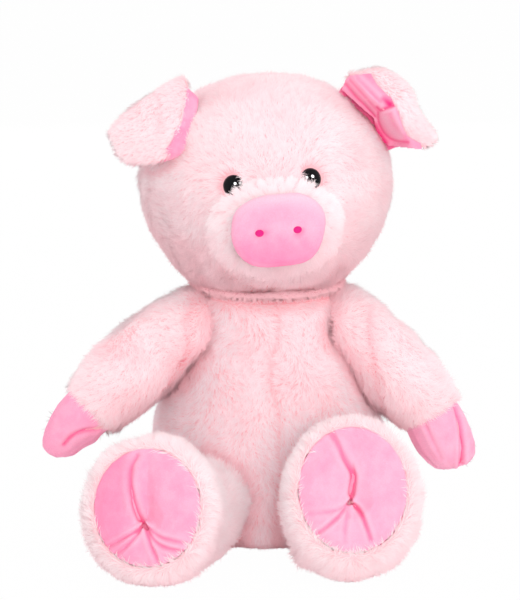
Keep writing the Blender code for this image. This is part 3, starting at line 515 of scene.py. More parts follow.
bodyLook = {
    "seed": 11, "density": 2.4e6, "length": 0.0058, "width": 0.00046, "lean": 1.05,
    "swirl": 1.1, "swirlSize": 0.045, "stray": 0.5, "leanDrift": 0.16, "leanStray": 0.10, "leans": (0.1, 1.4),
    "uneven": 0.16, "lengths": (0.55, 1.5), "foldShort": 0.5, "widths": (0.7, 0.6), "twist": 0.45,
    "clump": 0.0032, "ahead": 0.002, "gather": 0.45, "curve": (0.62, 0.32, 0.45), "taper": 0.8,
    "clear": 0.0008, "clothClear": 0.0032, "eyeRoom": 0.0090, "eyeTurn": 1.6, "sunk": 0.0003, "ground": 0.0002,
    "soft": 0.15, "bias": (0, 0, 0),
    # how much deeper the tone is: in broad random patches, and as painted shade underneath and at the back,
    # in folds, near other pieces and between tufts
    "patch": 0.03, "drift": 0.12, "under": (0.25, 0.7, 0.15), "fold": 0.8, "near": 0.9, "nearReach": 0.012,
    "partingShade": 0.1, "darker": (0.9, 0.5, 0.6), "hues": (0.6, 0.4),
}
largestPiece = 64000  # blades, each of three triangles


def pile(name, form, look, finish, body, flow, cleared=(), lengthAt=None, bare=None, parted=(), close=()):
    # Fur as separate curved blades that lean with the stroke of the cloth and gather in small tufts.
    chance = np.random.default_rng(look["seed"])
    points, normals, fold = scattered(form, look["density"], chance)
    keep = ~covered(points, cleared, look["clear"])
    if bare:
        outline, cloth, facing = bare
        seen = (normals @ back > facing) | covered(points, cloth, look["clothClear"])
        keep &= ~(within(inPicture(points), outline) & seen)
    points, normals, fold = points[keep], normals[keep], fold[keep]
    count = len(points)
    way = flow(points, normals)
    way = unit(way - normals * (way * normals).sum(1, keepdims=True))
    turn = look["swirl"] * drift(points, look["swirlSize"], look["seed"] + 1) + chance.normal(0, look["stray"], count)
    side = np.cross(normals, way)
    way = way * np.cos(turn)[:, None] + side * np.sin(turn)[:, None]
    for spot in parted:
        # The fur opens round each eye.
        aside = points - spot
        near = np.exp(-((aside ** 2).sum(1) / look["eyeRoom"] ** 2) ** 2)[:, None]
        aside = unit(aside - normals * (aside * normals).sum(1, keepdims=True))
        way = unit(way * (1 - near) + aside * near * look["eyeTurn"])
    length = look["length"] * (1 + look["uneven"] * chance.normal(0, 1, count)).clip(*look["lengths"])
    length = length * (1 - look["foldShort"] * fold)
    if lengthAt:
        length = length * lengthAt(points)
    lean = look["lean"] + look["leanDrift"] * drift(points, look["swirlSize"] * 0.5, look["seed"] + 2)
    lean = (lean + chance.normal(0, look["leanStray"], count)).clip(*look["leans"])
    clump, gap, code = nearestClump(points + way * look["ahead"], look["clump"], look["seed"] + 3)
    pull = clump - points
    pull -= normals * (pull * normals).sum(1, keepdims=True)
    pull *= look["gather"]
    rise = (length * np.cos(lean))[:, None] * normals
    slide = (length * np.sin(lean))[:, None] * way
    bent = look["curve"]
    mid = points + rise * bent[0] + slide * bent[1] + pull * bent[2]
    tip = points + rise + slide + pull
    across = unit(np.cross(tip - points, normals))
    twist = chance.normal(0, look["twist"], count)
    across = across * np.cos(twist)[:, None] + normals * np.sin(twist)[:, None]
    narrow, more = look["widths"]
    half = (look["width"] / 2 * (narrow + more * chance.random(count)))[:, None]
    root = points - normals * look["sunk"]
    blades = np.stack([root - across * half, root + across * half,
                       mid - across * half * look["taper"], mid + across * half * look["taper"], tip], 1)
    blades[:, :, 2] = np.maximum(blades[:, :, 2], look["ground"])
    facing = unit(np.cross(across, tip - points))
    soft = unit(normals + look["soft"] * facing + look["soft"] * unit(tip - points) + look["bias"])
    # Painted shade: the tips take the deep tone underneath and at the back, in folds, near other pieces and between
    # tufts, besides broad random patches. In folds, near other pieces and between tufts the hair's colour also runs
    # further towards its root tone, as painted shade.
    even, down, rear = look["under"]
    under = (even - down * normals[:, 2] + rear * normals[:, 1]).clip(0, 1)
    shaded = nearness(points, close, look["nearReach"])
    partingShade = (look["partingShade"] * (gap / look["clump"] * 1.5) ** 2).clip(0, 1)
    patch = (under + look["drift"] * drift(points, look["patch"], look["seed"] + 4) + look["fold"] * fold
             + look["near"] * shaded + partingShade)
    inFold, inShade, between = look["darker"]
    deeper = (1 - inFold * fold) * (1 - inShade * shaded) * (1 - between * partingShade)
    own, shared = look["hues"]
    shade = np.stack([own * chance.random(count) + shared * code, patch.clip(0, 1)], 1)
    for k, part in enumerate(np.array_split(chance.permutation(count), math.ceil(count / largestPiece))):
        amount = len(part)
        mesh = bpy.data.meshes.new(f"{name}{k + 1}")
        mesh.vertices.add(amount * 5)
        mesh.vertices.foreach_set("co", blades[part].reshape(-1))
        # Each blade has five points, a four-sided face at the root and a triangle at the tip.
        corner = np.arange(amount)[:, None] * 5 + np.array([0, 1, 3, 2, 2, 3, 4])
        mesh.loops.add(amount * 7)
        starts = (np.arange(amount)[:, None] * 7 + np.array([0, 4])).reshape(-1)
        mesh.polygons.add(amount * 2)
        mesh.polygons.foreach_set("loop_start", starts.astype(np.int32))
        mesh.loops.foreach_set("vertex_index", corner.reshape(-1).astype(np.int32))
        mesh.polygons.foreach_set("use_smooth", np.ones(amount * 2, bool))
        mesh.update(calc_edges=True)
        tint = mesh.color_attributes.new("tint", "FLOAT_COLOR", "POINT")
        tints = np.ones((amount, 5, 4))
        tints[:, :, 0] = np.array((0.0, 0.0, 0.55, 0.55, 1.0)) * deeper[part][:, None]
        tints[:, :, 1:3] = shade[part][:, None]
        tint.data.foreach_set("color", tints.reshape(-1))
        lay = mesh.attributes.new("lay", "FLOAT_VECTOR", "POINT")
        lay.data.foreach_set("vector", np.repeat(soft[part], 5, 0).reshape(-1))
        mesh.normals_split_custom_set_from_vertices(np.repeat(soft[part], 5, 0))
        mesh.materials.append(finish)
        piece = placed(f"{name}{k + 1}", mesh)
        # Light passes down between real hairs, so the blades don't darken each other.
        piece.visible_shadow = False
        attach(piece, body)
    print(name, count, "blades")


# Finishes

# root is partly the fur's own tone and partly painted shade down among the hairs; deep is the tone a tip takes where
# shade is painted in.
furLook = {
    "root": (0.98, 0.68, 0.72), "tip": (0.99, 0.87, 0.89), "deep": (0.98, 0.60, 0.65),
    "roughness": 0.9, "shine": 0.04, "through": 0.25,
}
pinkPile = pileMaterial("pinkPile", furLook)
bodyPile = pileMaterial("bodyPile", dict(
    furLook, root=(0.98, 0.63, 0.67), tip=(0.98, 0.865, 0.895), deep=(0.98, 0.58, 0.63)))
palePile = pileMaterial("palePile", dict(
    furLook, root=(0.98, 0.75, 0.78), tip=(0.98, 0.885, 0.90), deep=(0.98, 0.70, 0.74)))
# The cloth's deep tone is painted shade in folds and also forms random deeper patches; its light tone is painted
# light on raised lines and edges and also forms random paler patches.
clothLook = {
    "base": (0.95, 0.52, 0.56), "deep": (0.90, 0.30, 0.35), "light": (0.97, 0.60, 0.64), "patch": 90.0,
    "roughness": 0.8, "shine": 0.1, "sheen": 0.2, "sheenRoughness": 0.35, "bump": 0.12, "bumpHeight": 0.0004,
}
pinkBacking = napMaterial("pinkBacking", clothLook)
paleBacking = napMaterial("paleBacking", dict(
    clothLook, base=(0.96, 0.62, 0.66), deep=(0.92, 0.40, 0.46), light=(0.97, 0.68, 0.72)))
velour = napMaterial("pinkVelour", dict(
    clothLook, base=(0.97, 0.44, 0.61), deep=(0.94, 0.12, 0.33), light=(0.98, 0.60, 0.73), bump=0.3))
satin = napMaterial("pinkSatin", dict(
    clothLook, base=(0.97, 0.36, 0.54), deep=(0.92, 0.05, 0.24), light=(0.99, 0.62, 0.75), roughness=0.6, bump=0.05))
# The neck thread is a deep pink, as painted shade in the neck's crease.
threadTone = napMaterial("neckThread", dict(
    clothLook, base=(0.80, 0.38, 0.43), deep=(0.70, 0.28, 0.33), light=(0.84, 0.44, 0.49), sheen=0.0))
print("finishes made")

# Skins over the CAD pieces: what each covers, its voxel, its rounds of smoothing, and how far it stands out
skinLook = {
    "torso": (["torso_cover", "torso_filling"], 0.0025, 12, 0.0004),
    "head": (["head_cover", "head_filling"], 0.0025, 10, 0.0004),
    "muzzle": (["muzzle_cover", "muzzle_filling"], 0.0016, 8, 0.0004),
    "snout": (["snout_pad"], 0.0008, 6, 0.0003),
    "tail": (["tail"], 0.0009, 8, 0.0003),
    "thread": (["neck_thread"], 0.0006, 2, 0.0002),
}
sidedLook = {
    "arm": (["arm_cover", "arm_filling"], 0.0016, 10, 0.0004),
    "hoof": (["hoof"], 0.0007, 5, 0.0003),
    "leg": (["leg_cover", "leg_filling"], 0.0018, 10, 0.0004),
    "sole": (["sole"], 0.0006, 6, 0.0006),
    "ear": (["ear_outer"], 0.0008, 8, 0.0003),
    "lining": (["ear_lining"], 0.0008, 8, 0.0003),
}
bothSides = ("left", "right")
torsoForm, headForm, muzzleForm, snoutForm, tailForm, threadForm = (formOf(*look) for look in skinLook.values())
armForms, hoofForms, legForms, soleForms, earForms, liningForms = (
    {s: formOf([f"{member}_{s}" for member in members], *look) for s in bothSides}
    for members, *look in sidedLook.values())
print("forms made")

# The outlines: where these forms fall in the picture, and where the photograph has them

outlineMoves = [
    ((headForm,), 9.0,
     "385,215>384,215 375,245>372,243 360,266>357,263 345,281>342,279 138,170>136,170 141,205>139,205 "
     "152,238>151,239 265,72>265,74"),
    ((armForms["left"],), 9.0,
     "395,315>393,317 420,340>418,342 440,362>438,364 455,380>458,380 375,297>374,298"),
    ((hoofForms["left"],), 8.0,
     "428,462>429,460 445,470>446,468 471,455>473,456"),
    ((hoofForms["right"],), 8.0,
     "60,456>60,453 85,450>84,446 105,438>103,434"),
    ((legForms["right"],), 10.0,
     "142,436>142,441 125,440>124,443 100,460>101,460 150,588>150,586 218,562>223,565 190,582>191,583"),
    ((legForms["left"],), 10.0,
     "298,560>294,564 375,584>374,582 424,500>426,500 420,535>422,535 400,440>398,441"),
    ((snoutForm,), 12.0,
     "232,228>232,230 278,191>283,194 324,225>325,224 278,265>275,267 250,200>250,204 308,198>309,199 "
     "305,258>306,260 250,257>252,261"),
    ((earForms["right"], liningForms["right"]), 12.0,
     "178,74>182,75 183,93>190,93 182,113>188,112 174,133>185,132 166,145>180,147 154,153>165,160 "
     "140,161>144,165 122,159>124,159 108,149>114,150 99,135>105,135 110,117>115,120 126,105>132,105 "
     "144,91>150,92 162,81>168,81 145,125>150,127"),
    ((earForms["left"], liningForms["left"]), 10.0,
     "353,66>347,74 373,68>377,65 388,77>390,71 403,85>404,81 418,93>413,91 430,102>416,102 440,118>426,117 "
     "446,133>437,128 448,143>438,139 434,148>430,147 395,110>395,110 378,122>378,120 345,92>345,90 "
     "410,140>410,140 365,90>365,90"),
]
for members, spread, moves in outlineMoves:
    for form in members:
        warped(form, moves, spread)

# Creases, drawn as they fall in the photograph's picture: (line, depth, width, fold, strength at each end, ridge).
# The fold is how deeply shade is painted along the crease, in the cloth's tone and in its fur.

soleCreases = {
    "right": [
        ("137,455 131,466 130,484 134,503 139,516 145,525", 0.003, 2.4, 0.8, (0.55, 1.2), 0.35),
        ("145,525 133,533 119,541 106,548", 0.0013, 1.6, 0.6, (1.3, 0.8), 0.5),
        ("145,525 134,538 122,550 113,557", 0.0012, 1.6, 0.55, (1.2, 0.8), 0.5),
        ("145,525 149,540 154,553 159,564", 0.0014, 1.7, 0.65, (1.2, 0.8), 0.5),
        ("146,527 154,540 166,548 184,552", 0.0013, 1.7, 0.55, (1.3, 0.8), 0.5),
        ("148,527 158,536 170,540 187,544", 0.0012, 1.7, 0.5, (1.2, 0.7), 0.5),
    ],
    "left": [
        ("331,433 338,444 345,459 353,474 352,489 350,501", 0.003, 2.4, 0.8, (0.5, 1.2), 0.35),
        ("350,501 360,512 367,528 371,540", 0.0018, 1.8, 0.7, (1.3, 0.7), 0.4),
        ("350,501 340,509 327,512 309,514", 0.0009, 1.8, 0.35, (1, 0.3), 0.5),
        ("349,503 339,516 328,526 317,534", 0.0012, 1.6, 0.5, (1, 0.9), 0.5),
        ("349,504 347,518 345,530 345,542", 0.0008, 1.8, 0.3, (1, 0.5), 0.5),
    ],
}
hoofCreases = {
    "right": [
        ("64,445 72,436 84,431 98,429 108,424", 0.0032, 2, 1, (0.8, 0.6), 0.2),
        ("90,381 98,394 107,408 113,420", 0.0006, 1.6, 0.25, (0.6, 0.6), 0.4),
        ("63,387 78,381 96,382", 0.0012, 1.6, 0.5, (1, 1), 0.2),
    ],
    "left": [
        ("452,398 457,412 461,430 462,448 461,466", 0.0034, 1.9, 1, (0.4, 1.2), 0.25),
        ("420,412 426,426 434,444 441,459", 0.0006, 1.6, 0.25, (1, 0.4), 0.4),
        ("400,424 412,412 428,404 458,394", 0.0012, 1.6, 0.45, (1, 1), 0.2),
    ],
}
torsoCreases = [
    ("273,296 274,330 275,380 277,440 276,500 273,545", 0.0018, 2, 0.6, (1.3, 1), 0.15),
    ("196,300 191,322 191,348 182,366 165,388", 0.002, 3.2, 0.9, (0.7, 1.2), 0),
    ("364,312 366,336 371,362 380,392 387,420", 0.002, 3.2, 0.9, (0.7, 1.2), 0),
]
# Besides creases, several of these lines mostly paint shade: under the ears, under the chin and muzzle, at the neck
# and between the feet.
foldLines = [
    (muzzleForm, "277,262 278,270 277,281", 0.003, 3, 0.8, (0.6, 1.3)),
    (headForm, "277,272 274,284 272,298", 0.0015, 2.5, 0.9, (1, 1)),
    (headForm, "226,268 245,282 262,289 277,286 295,288 320,281 340,262", 0.003, 5.5, 1, (0.9, 0.7)),
    (headForm, "352,103 365,118 376,133 385,147", 0.001, 5, 1),
    (headForm, "143,169 160,171 176,165 188,152", 0.0008, 4, 0.8),
    (headForm, "205,281 238,290 268,294", 0.0006, 4.5, 0.9),
    (headForm, "278,294 310,291 340,283", 0.0006, 4, 0.6),
    (torsoForm, "203,291 238,297 273,300 305,297 348,289", 0.0008, 5, 0.9),
    (torsoForm, "208,452 230,478 242,515 241,548", 0.0006, 6, 0.8),
    (torsoForm, "297,450 284,480 279,518 284,548", 0.0006, 6, 0.8),
    (torsoForm, "238,545 262,547 284,545", 0.0003, 5, 0.7),
    (snoutForm, "259,233 265,233", 0.0005, 3.6, 0.45),
    (snoutForm, "298,233 302,231", 0.0005, 3.6, 0.45),
    (legForms["left"], "367,548 368,560 369,580", 0.0012, 2, 0.4, (1, 1)),
    (legForms["right"], "159,566 160,575 161,590", 0.0008, 2, 0.3, (1, 1)),
]
for s in bothSides:
    foldLines += [(soleForms[s], *crease) for crease in soleCreases[s]]
    foldLines += [(hoofForms[s], *crease) for crease in hoofCreases[s]]
# The torso's creases run on over the arms' roots.
seamLines = [(form, *crease) for form in (torsoForm, *armForms.values()) for crease in torsoCreases]
for form, *crease in seamLines + foldLines:
    creased(form, *crease)

# The snout's outline is fuller at its corners than an ellipse. Its lower half is painted deeper pink, as painted
# shade, and its top and rim paler, as painted light and painted sheen.
snoutLook = {"halfWidth": 0.0275, "halfHeight": 0.022, "corner": 2.5, "fullest": 1.08,
             "deepBelow": 0.10, "paleAbove": 0.25, "paleRim": 0.88}
middle = (snoutForm["points"].min(0) + snoutForm["points"].max(0)) / 2
across = (snoutForm["points"] - middle)[:, 0] / snoutLook["halfWidth"]
rise = (snoutForm["points"] - middle)[:, 2] / snoutLook["halfHeight"]
corner, outward = snoutLook["corner"], np.hypot(across, rise)
fuller = outward / np.maximum((abs(across) ** corner + abs(rise) ** corner) ** (1 / corner), 1e-6)
fuller = fuller.clip(1, snoutLook["fullest"])
for axis in (0, 2):
    snoutForm["points"][:, axis] = middle[axis] + (snoutForm["points"][:, axis] - middle[axis]) * fuller
# Painted shade below, painted light above and painted sheen at the rim.
snoutForm["fold"] += ((snoutLook["deepBelow"] - rise) * 0.6).clip(0, 0.55) * (1.25 - outward).clip(0, 0.4) * 2.5
snoutForm["edge"] += ((rise - snoutLook["paleAbove"]) * 1.2 + (outward - snoutLook["paleRim"]) * 1.5).clip(0, 0.9)

# The right foot's sole is deeper pink towards its outer side, and the right hoof all over.
spots = inPicture(soleForms["right"]["points"])
soleForms["right"]["fold"] = np.maximum(soleForms["right"]["fold"], (0.1 + (135 - spots[:, 0]) / 60).clip(0.1, 0.38))
hoofForms["right"]["fold"] = np.maximum(hoofForms["right"]["fold"], 0.14)

# What rests on the ground is flat there.
for form in (torsoForm, *legForms.values(), *soleForms.values(), *hoofForms.values()):
    form["points"][:, 2] = np.maximum(form["points"][:, 2], 0.0001)

# The linings: the left ear's lies open below its furred rim, the right ear's rolls over its inner edge.
liningOutline = drawn(
    "341,90 345,80 350,75 371,73 375,80 379,86 385,92 392,98 394,103 399,112 401,120 404,129 408,136 "
    "421,143 423,150 405,148 388,146 382,141 376,131 373,118 362,109 352,100")
# Creases of negative depth are raised, and painted paler along them as painted light.
liningCreases = [
    ("346,84 355,95 365,105 375,116", 0.0012, 1.8, 0.6, (0.9, 1.2), 0.5),
    ("350,80 359,90 368,100 378,111", 0.001, 1.8, 0.45, (0.8, 1), 0.6),
    ("357,79 365,87 372,94 379,101", 0.0008, 1.8, 0.3, (0.7, 1), 0.6),
    ("384,99 390,104", 0.0012, 3.6, 1, (0.7, 1.1), 0),
    ("377,107 381,110 388,107 394,105", 0.0012, 1.8, 0.8, (0.9, 1), 0),
    ("378,112 379,123 385,134 394,140 408,142", 0.001, 1.6, 0.75, (0.9, 0.8), 0),
    ("343,91 354,103 366,114 377,130 385,143", 0.0012, 3.2, 0.8, (0.3, 1.4), 0),
    ("383,113 390,111 396,108", -0.001, 2.2, 1, (1, 0.8), 0),
    ("385,118 390,128 399,137", -0.0008, 5, 1, (1, 0.9), 0),
    ("394,112 397,122 402,132", -0.0006, 3.5, 0.8, (1, 0.9), 0),
    ("396,146 406,146 416,148", -0.0005, 2, 0.3, (1, 1), 0),
]
liningFront = drapedOver((earForms["left"], liningForms["left"]), liningOutline, **drapeLook)
liningFront["fold"] += 0.08
liningForms["left"]["fold"] += 0.7  # it lies in the shade of the layer in front
for crease in liningCreases:
    creased(liningFront, *crease)
rollInner = drawn("182,89 181,99 179,110 177,118 175,130 171,142 164,150 154,158")
rollOuter = drawn("189,85 198,97 197,112 194,124 190,138 186,149 179,158 164,166")
# The roll lies on the ear and in front of the head. Where a ray misses one, its own depth holds.
rollDepth = {"noEar": 1.3, "noHead": 9, "behindEar": 0.001, "aboveHead": 0.0065, "window": 9}
earTree, headTree = treeOf(earForms["right"]), treeOf(headForm)
depths = []
for inner, outer in zip(rounded(rollInner, rollLook["count"]), rounded(rollOuter, rollLook["count"])):
    found = []
    for tree, spot in ((earTree, inner - (5, 1)), (headTree, (inner + outer) / 2)):
        found.append(tree.ray_cast(Vector(eyePoint), Vector(rayThrough(*spot)))[3])
    depths.append(min((found[0] or rollDepth["noEar"]) + rollDepth["behindEar"],
                      (found[1] or rollDepth["noHead"]) - rollDepth["aboveHead"]))
window = rollDepth["window"]
depths = np.convolve(np.pad(depths, window // 2, mode="edge"), np.ones(window) / window, mode="valid")
liningRoll = rolled(rollInner, rollOuter, depths, **rollLook)
creased(earForms["right"], "161,96 162,108 163,120 163,132", 0.0012, 4.0, 0.35, (0.8, 0.8), 0.3)

padded = [
    shownForm("torsoSkin", torsoForm, pinkBacking, "torso", ["torso_cover", "torso_filling"]),
    shownForm("headSkin", headForm, pinkBacking, "head", ["head_cover", "head_filling"]),
    shownForm("muzzleSkin", muzzleForm, paleBacking, "head", ["muzzle_cover", "muzzle_filling"]),
    shownForm("snoutDisc", snoutForm, velour, "head", ["snout_pad"]),
    shownForm("tailCurl", tailForm, velour, "tail", ["tail"]),
]
for s in bothSides:
    side = s.capitalize()
    padded += [
        shownForm(f"armSkin{side}", armForms[s], pinkBacking, f"arm_{s}",
                  [f"arm_cover_{s}", f"arm_filling_{s}"]),
        shownForm(f"hoofVelour{side}", hoofForms[s], velour, f"arm_{s}", [f"hoof_{s}"]),
        shownForm(f"legSkin{side}", legForms[s], paleBacking, f"leg_{s}",
                  [f"leg_cover_{s}", f"leg_filling_{s}"]),
        shownForm(f"soleVelour{side}", soleForms[s], velour, f"leg_{s}", [f"sole_{s}"]),
        shownForm(f"earSkin{side}", earForms[s], pinkBacking, f"ear_{s}", [f"ear_outer_{s}"]),
        shownForm(f"earLining{side}", liningForms[s], satin, f"ear_{s}", [f"ear_lining_{s}"]),
    ]
padded += [shownForm("earLiningOpen", liningFront, satin, "ear_left"),
           shownForm("earLiningRoll", liningRoll, satin, "ear_right")]
# The neck thread takes the deep pink thread tone, as painted shade.
nodes["neck_thread"].data.materials.clear()
nodes["neck_thread"].data.materials.append(threadTone)
print("skins shown")


# Eyes

eyeLook = {"radius": 0.0066, "dome": 0.0044, "sunk": 0.0042, "past": 1.25, "rings": 18, "sides": 48,
           "left": (0.0, -0.0005, -0.0022), "right": (0.0011, -0.0004, -0.0018)}


def eyePiece(name, centre, axis, finish):
    # A dome whose edge turns back in, past a quarter circle.
    rings, sides = eyeLook["rings"], eyeLook["sides"]
    points = []
    turn = Vector((0, 0, 1)).rotation_difference(axis).to_matrix()
    for k in range(rings + 1):
        angle = math.pi / 2 * k / rings * eyeLook["past"]
        spread = eyeLook["radius"] * math.sin(min(angle, math.pi / 2))
        height = eyeLook["dome"] * math.cos(angle)
        for j in range(sides):
            way = 2 * math.pi * j / sides
            place = Vector((spread * math.cos(way), spread * math.sin(way), height))
            points.append(tuple(centre + turn @ place))
    form = {"points": np.array(points), "faces": [[a, d, c, b] for a, b, c, d in ringFaces(rings, sides)]}
    eyeForms.append(form)
    return shownForm(name, form, finish, "head")


gloss = emptyMaterial("blackGloss", {
    "Base Color": (0.002, 0.002, 0.003, 1), "Roughness": 0.06, "Specular IOR Level": 0.14})[0]
eyeForms, eyeSpots, eyePieces = [], [], []
headCentre = Vector((0, 0.004, 0.221))
for s in bothSides:
    places = [v.co for v in nodes[f"eye_{s}"].data.vertices]
    apex = max(places, key=lambda p: (p - headCentre).length)
    eyeSpots.append(np.array(apex))
    axis = (apex - headCentre).normalized()
    apex = apex + Vector(eyeLook[s])
    eyePieces.append(eyePiece(f"eye{s.capitalize()}", apex - axis * eyeLook["sunk"], axis, gloss))
    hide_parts(f"eye_{s}")
print("eyes shown")


# Fur

# The strip of the head behind the left ear's open side, in its shade. Its fur is left off there,
# so that the deeper backing shows as painted shade.
earShade = drawn("338,84 352,84 372,104 384,118 392,140 390,152 383,152 374,138 364,124 350,108 336,92")


def towards(x, y, z):
    return lambda points, normals: np.tile(np.array((x, y, z), float), (len(points), 1))


def awayFrom(x, y, z, drop):
    spot = np.array((x, y, z))
    return lambda points, normals: unit(points - spot) + np.array((0, 0, -drop))


headLook = dict(bodyLook, seed=21, swirl=0.9)
muzzleLook = dict(bodyLook, seed=31, length=0.0070, lean=1.0, swirl=0.4, clump=0.0055, gather=0.7,
                  bias=(0, -0.8, 0.35), partingShade=0.08)
limbLook = dict(bodyLook, seed=41, swirl=0.9, bias=(0, -0.2, 0.2))
footLook = dict(bodyLook, seed=51, length=0.0064, lean=1.0, swirl=0.5, clump=0.0042, gather=0.4, bias=(0, -0.3, 0.3))
earLook = dict(bodyLook, seed=61, density=3.0e6, length=0.0040, swirl=0.6, clump=0.0026, gather=0.4,
               bias=(0, -0.2, 0.25))
neckLook = dict(bodyLook, seed=13, length=0.0050, lean=1.2, density=5.0e6, bias=(0, -0.5, 0.4))
tuftLook = dict(muzzleLook, seed=37, density=1.6e6, length=0.0104, lean=1.05, swirl=0.2, clump=0.0056, gather=1.0,
                width=0.0005, bias=(0, -1.3, 0.8), partingShade=0.5)


def footLength(points):
    # Flattened where the feet rest.
    return ((points[:, 2] + 0.004) / 0.02).clip(0.35, 1)


def earLength(points):
    # Short along the ear's lower edge.
    return ((points[:, 2] - points[:, 2].min()) / 0.008).clip(0.4, 1)


muzzleMiddle = {"x": -0.001, "z": 0.2125, "stretch": 1.15}


def fromMiddle(points):
    # How far out a point of the muzzle is from its middle, seen from in front.
    return np.hypot(points[:, 0] - muzzleMiddle["x"], (points[:, 2] - muzzleMiddle["z"]) * muzzleMiddle["stretch"])


def muzzleLength(points):
    # Short above the snout, longer out at the edge, and drawn into tufts below.
    low = ((muzzleMiddle["z"] - points[:, 2]) / 0.03).clip(0, 1)
    return 0.85 + 0.35 * ((fromMiddle(points) - 0.028) / 0.014).clip(0, 1) + 0.5 * low


neckTop = max(v.co.z for v in nodes["neck_thread"].data.vertices)


def torsoStroke(points, normals):
    # Down the body, but up over the thread at the neck.
    rise = 3.0 * np.exp(-((neckTop - points[:, 2]).clip(0, None) / 0.007) ** 2)
    return np.stack([0 * rise, 0 * rise, rise - 1], 1) + normals * 1e-3


limbForms = [*armForms.values(), *legForms.values()]
pile("torsoPile", torsoForm, bodyLook, bodyPile, "torso", torsoStroke, limbForms,
     close=[*limbForms, headForm])
pile("headPile", headForm, headLook, pinkPile, "head", awayFrom(0, -0.09, 0.225, 0.5),
     [muzzleForm, *eyeForms], parted=eyeSpots, bare=(earShade, [], 0.3), close=[torsoForm])
# Painted shade: the fur on the neck thread is short and deep pink, as in the shade of the neck's crease.
threadForm["fold"] += 0.8  # deep in the neck's crease
pile("neckPile", threadForm, neckLook, bodyPile, "torso", awayFrom(0, 0.004, 0.19, 2.0))
pile("muzzlePile", muzzleForm, muzzleLook, palePile, "head", awayFrom(0, -0.11, 0.222, 0.3),
     [snoutForm, headForm, *eyeForms], lengthAt=muzzleLength)
# Long tufts grow on the muzzle's lower rim.
edge = muzzleForm["points"][[face[0] for face in muzzleForm["faces"]]]
rim = (fromMiddle(edge) > 0.029) & (edge[:, 2] < 0.2155 - 0.25 * abs(edge[:, 0] - muzzleMiddle["x"]))
lower = dict(muzzleForm, faces=[face for face, chosen in zip(muzzleForm["faces"], rim) if chosen])
pile("muzzleTufts", lower, tuftLook, palePile, "head", awayFrom(0, -0.11, 0.222, 0.5), [snoutForm])
for s, x in (("left", 1), ("right", -1)):
    side = s.capitalize()
    pile(f"armPile{side}", armForms[s], limbLook, pinkPile, f"arm_{s}", towards(x, 0, -1),
         [hoofForms[s], torsoForm], close=[torsoForm, headForm])
    pile(f"legPile{side}", legForms[s], footLook, palePile, f"leg_{s}", towards(0, 1, 0),
         [soleForms[s], torsoForm], lengthAt=footLength, close=[torsoForm])
    pile(f"earPile{side}", earForms[s], earLook, pinkPile, f"ear_{s}", towards(x, 0, -0.6),
         [liningForms[s]], lengthAt=earLength,
         bare=(liningOutline, [liningFront], -0.45) if s == "left" else None)


# Room, lights and camera

roomLook = {"lighting": 0.5, "floorGlow": 0.985, "floorHalf": 6, "paper": (0.9, 0.9, 0.9, 1)}


def shownWhite(tree, weight):
    # The weight for what the camera, mirrors and glass see, else 0.
    path = tree.nodes.new("ShaderNodeLightPath").outputs
    both = linked(tree, "Math", {0: path["Is Camera Ray"], 1: path["Is Glossy Ray"]}, operation="MAXIMUM")
    every = linked(tree, "Math", {0: both.outputs[0], 1: path["Is Transmission Ray"]}, operation="MAXIMUM")
    return linked(tree, "Math", {0: every.outputs[0], 1: weight}, operation="MULTIPLY").outputs[0]


world = bpy.data.worlds.new("studio")
scene.world = world
world.use_nodes = True
backdrop = world.node_tree.nodes["Background"]
backdrop.inputs["Color"].default_value = white
level = ranged(world.node_tree, shownWhite(world.node_tree, 1.0), toMin=roomLook["lighting"], toMax=1.0)
world.node_tree.links.new(level.outputs["Result"], backdrop.inputs["Strength"])

floorMesh = bpy.data.meshes.new("studioFloor")
half = roomLook["floorHalf"]
floorMesh.from_pydata([(-half, -half, 0), (half, -half, 0), (half, half, 0), (-half, half, 0)], [], [(0, 1, 2, 3)])
floor = placed("studioFloor", floorMesh)
paper, paperTree, paperShader = emptyMaterial("paper", {"Base Color": roomLook["paper"], "Roughness": 0.9})
glow = linked(paperTree, "Emission", {"Color": white, "Strength": 1.0})
blend = linked(paperTree, "MixShader", {
    0: shownWhite(paperTree, roomLook["floorGlow"]), 1: paperShader.outputs[0], 2: glow.outputs[0]})
paperTree.links.new(blend.outputs[0], paperTree.nodes["Material Output"].inputs["Surface"])
floorMesh.materials.append(paper)


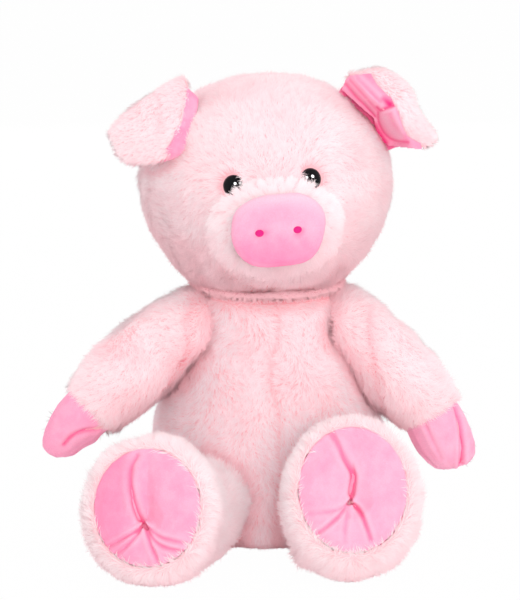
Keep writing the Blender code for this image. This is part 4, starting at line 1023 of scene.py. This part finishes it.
def softbox(name, place, target, size, power):
    lamp = bpy.data.lights.new(name, "AREA")
    lamp.shape = "RECTANGLE"
    lamp.size = lamp.size_y = size
    lamp.energy = power
    # Hairs are lit from both sides by the lamp's own rays only.
    lamp.cycles.use_multiple_importance_sampling = False
    holder = placed(name, lamp)
    holder.location = place
    holder.rotation_euler = (Vector(target) - Vector(place)).to_track_quat("-Z", "Y").to_euler()
    return holder


# Place, size and power
lamps = {
    "frontBox": ((-0.2, -1.9, 0.92), 1.5, 13), "sideBox": ((1.2, -1.7, 0.6), 1.3, 6.8),
    "topBox": ((0.0, 0.1, 1.7), 1.3, 7), "backBoxLeft": ((1.7, 0.6, 0.7), 1.5, 8),
    "backBoxRight": ((-1.7, 0.6, 0.7), 1.5, 8), "rearBox": ((0.0, 1.9, 0.8), 1.5, 10),
    "lowBox": ((0.2, -1.8, 0.12), 1.0, 6),
}
for name, (place, size, power) in lamps.items():
    softbox(name, place, (0, 0, 0.15), size, power).visible_glossy = False

# Two round lamps for the points of light in the eyes, which they alone light.
catchLook = {"away": 0.9, "size": 0.34, "power": 40, "right": (235.5, 183.5), "left": (312.5, 176)}
lit = bpy.data.collections.new("eyesLit")
for piece in eyePieces:
    lit.objects.link(piece)
for s, form in (("right", eyeForms[1]), ("left", eyeForms[0])):
    sight = Vector(rayThrough(*catchLook[s]))
    spot, normal, _, _ = treeOf(form).ray_cast(Vector(eyePoint), sight)
    place = spot + sight.reflect(normal) * catchLook["away"]
    catch = softbox(f"catch{s.capitalize()}", place, spot, catchLook["size"], catchLook["power"])
    catch.data.shape = "DISK"
    catch.data.cycles.use_multiple_importance_sampling = True
    catch.visible_diffuse = False
    catch.light_linking.receiver_collection = lit
print("room and lamps set")

scene.view_settings.view_transform = "Standard"
camera = bpy.data.cameras.new("photoCamera")
camera.sensor_fit = "VERTICAL"
camera.sensor_height = photo["sensor"]
camera.lens = photo["lens"]
viewer = placed("photoCamera", camera)
viewer.location = eyePoint
viewer.rotation_euler = Vector(-back).to_track_quat("-Z", "Y").to_euler()
scene.camera = viewer
print("camera set")

bpy.context.view_layer.update()
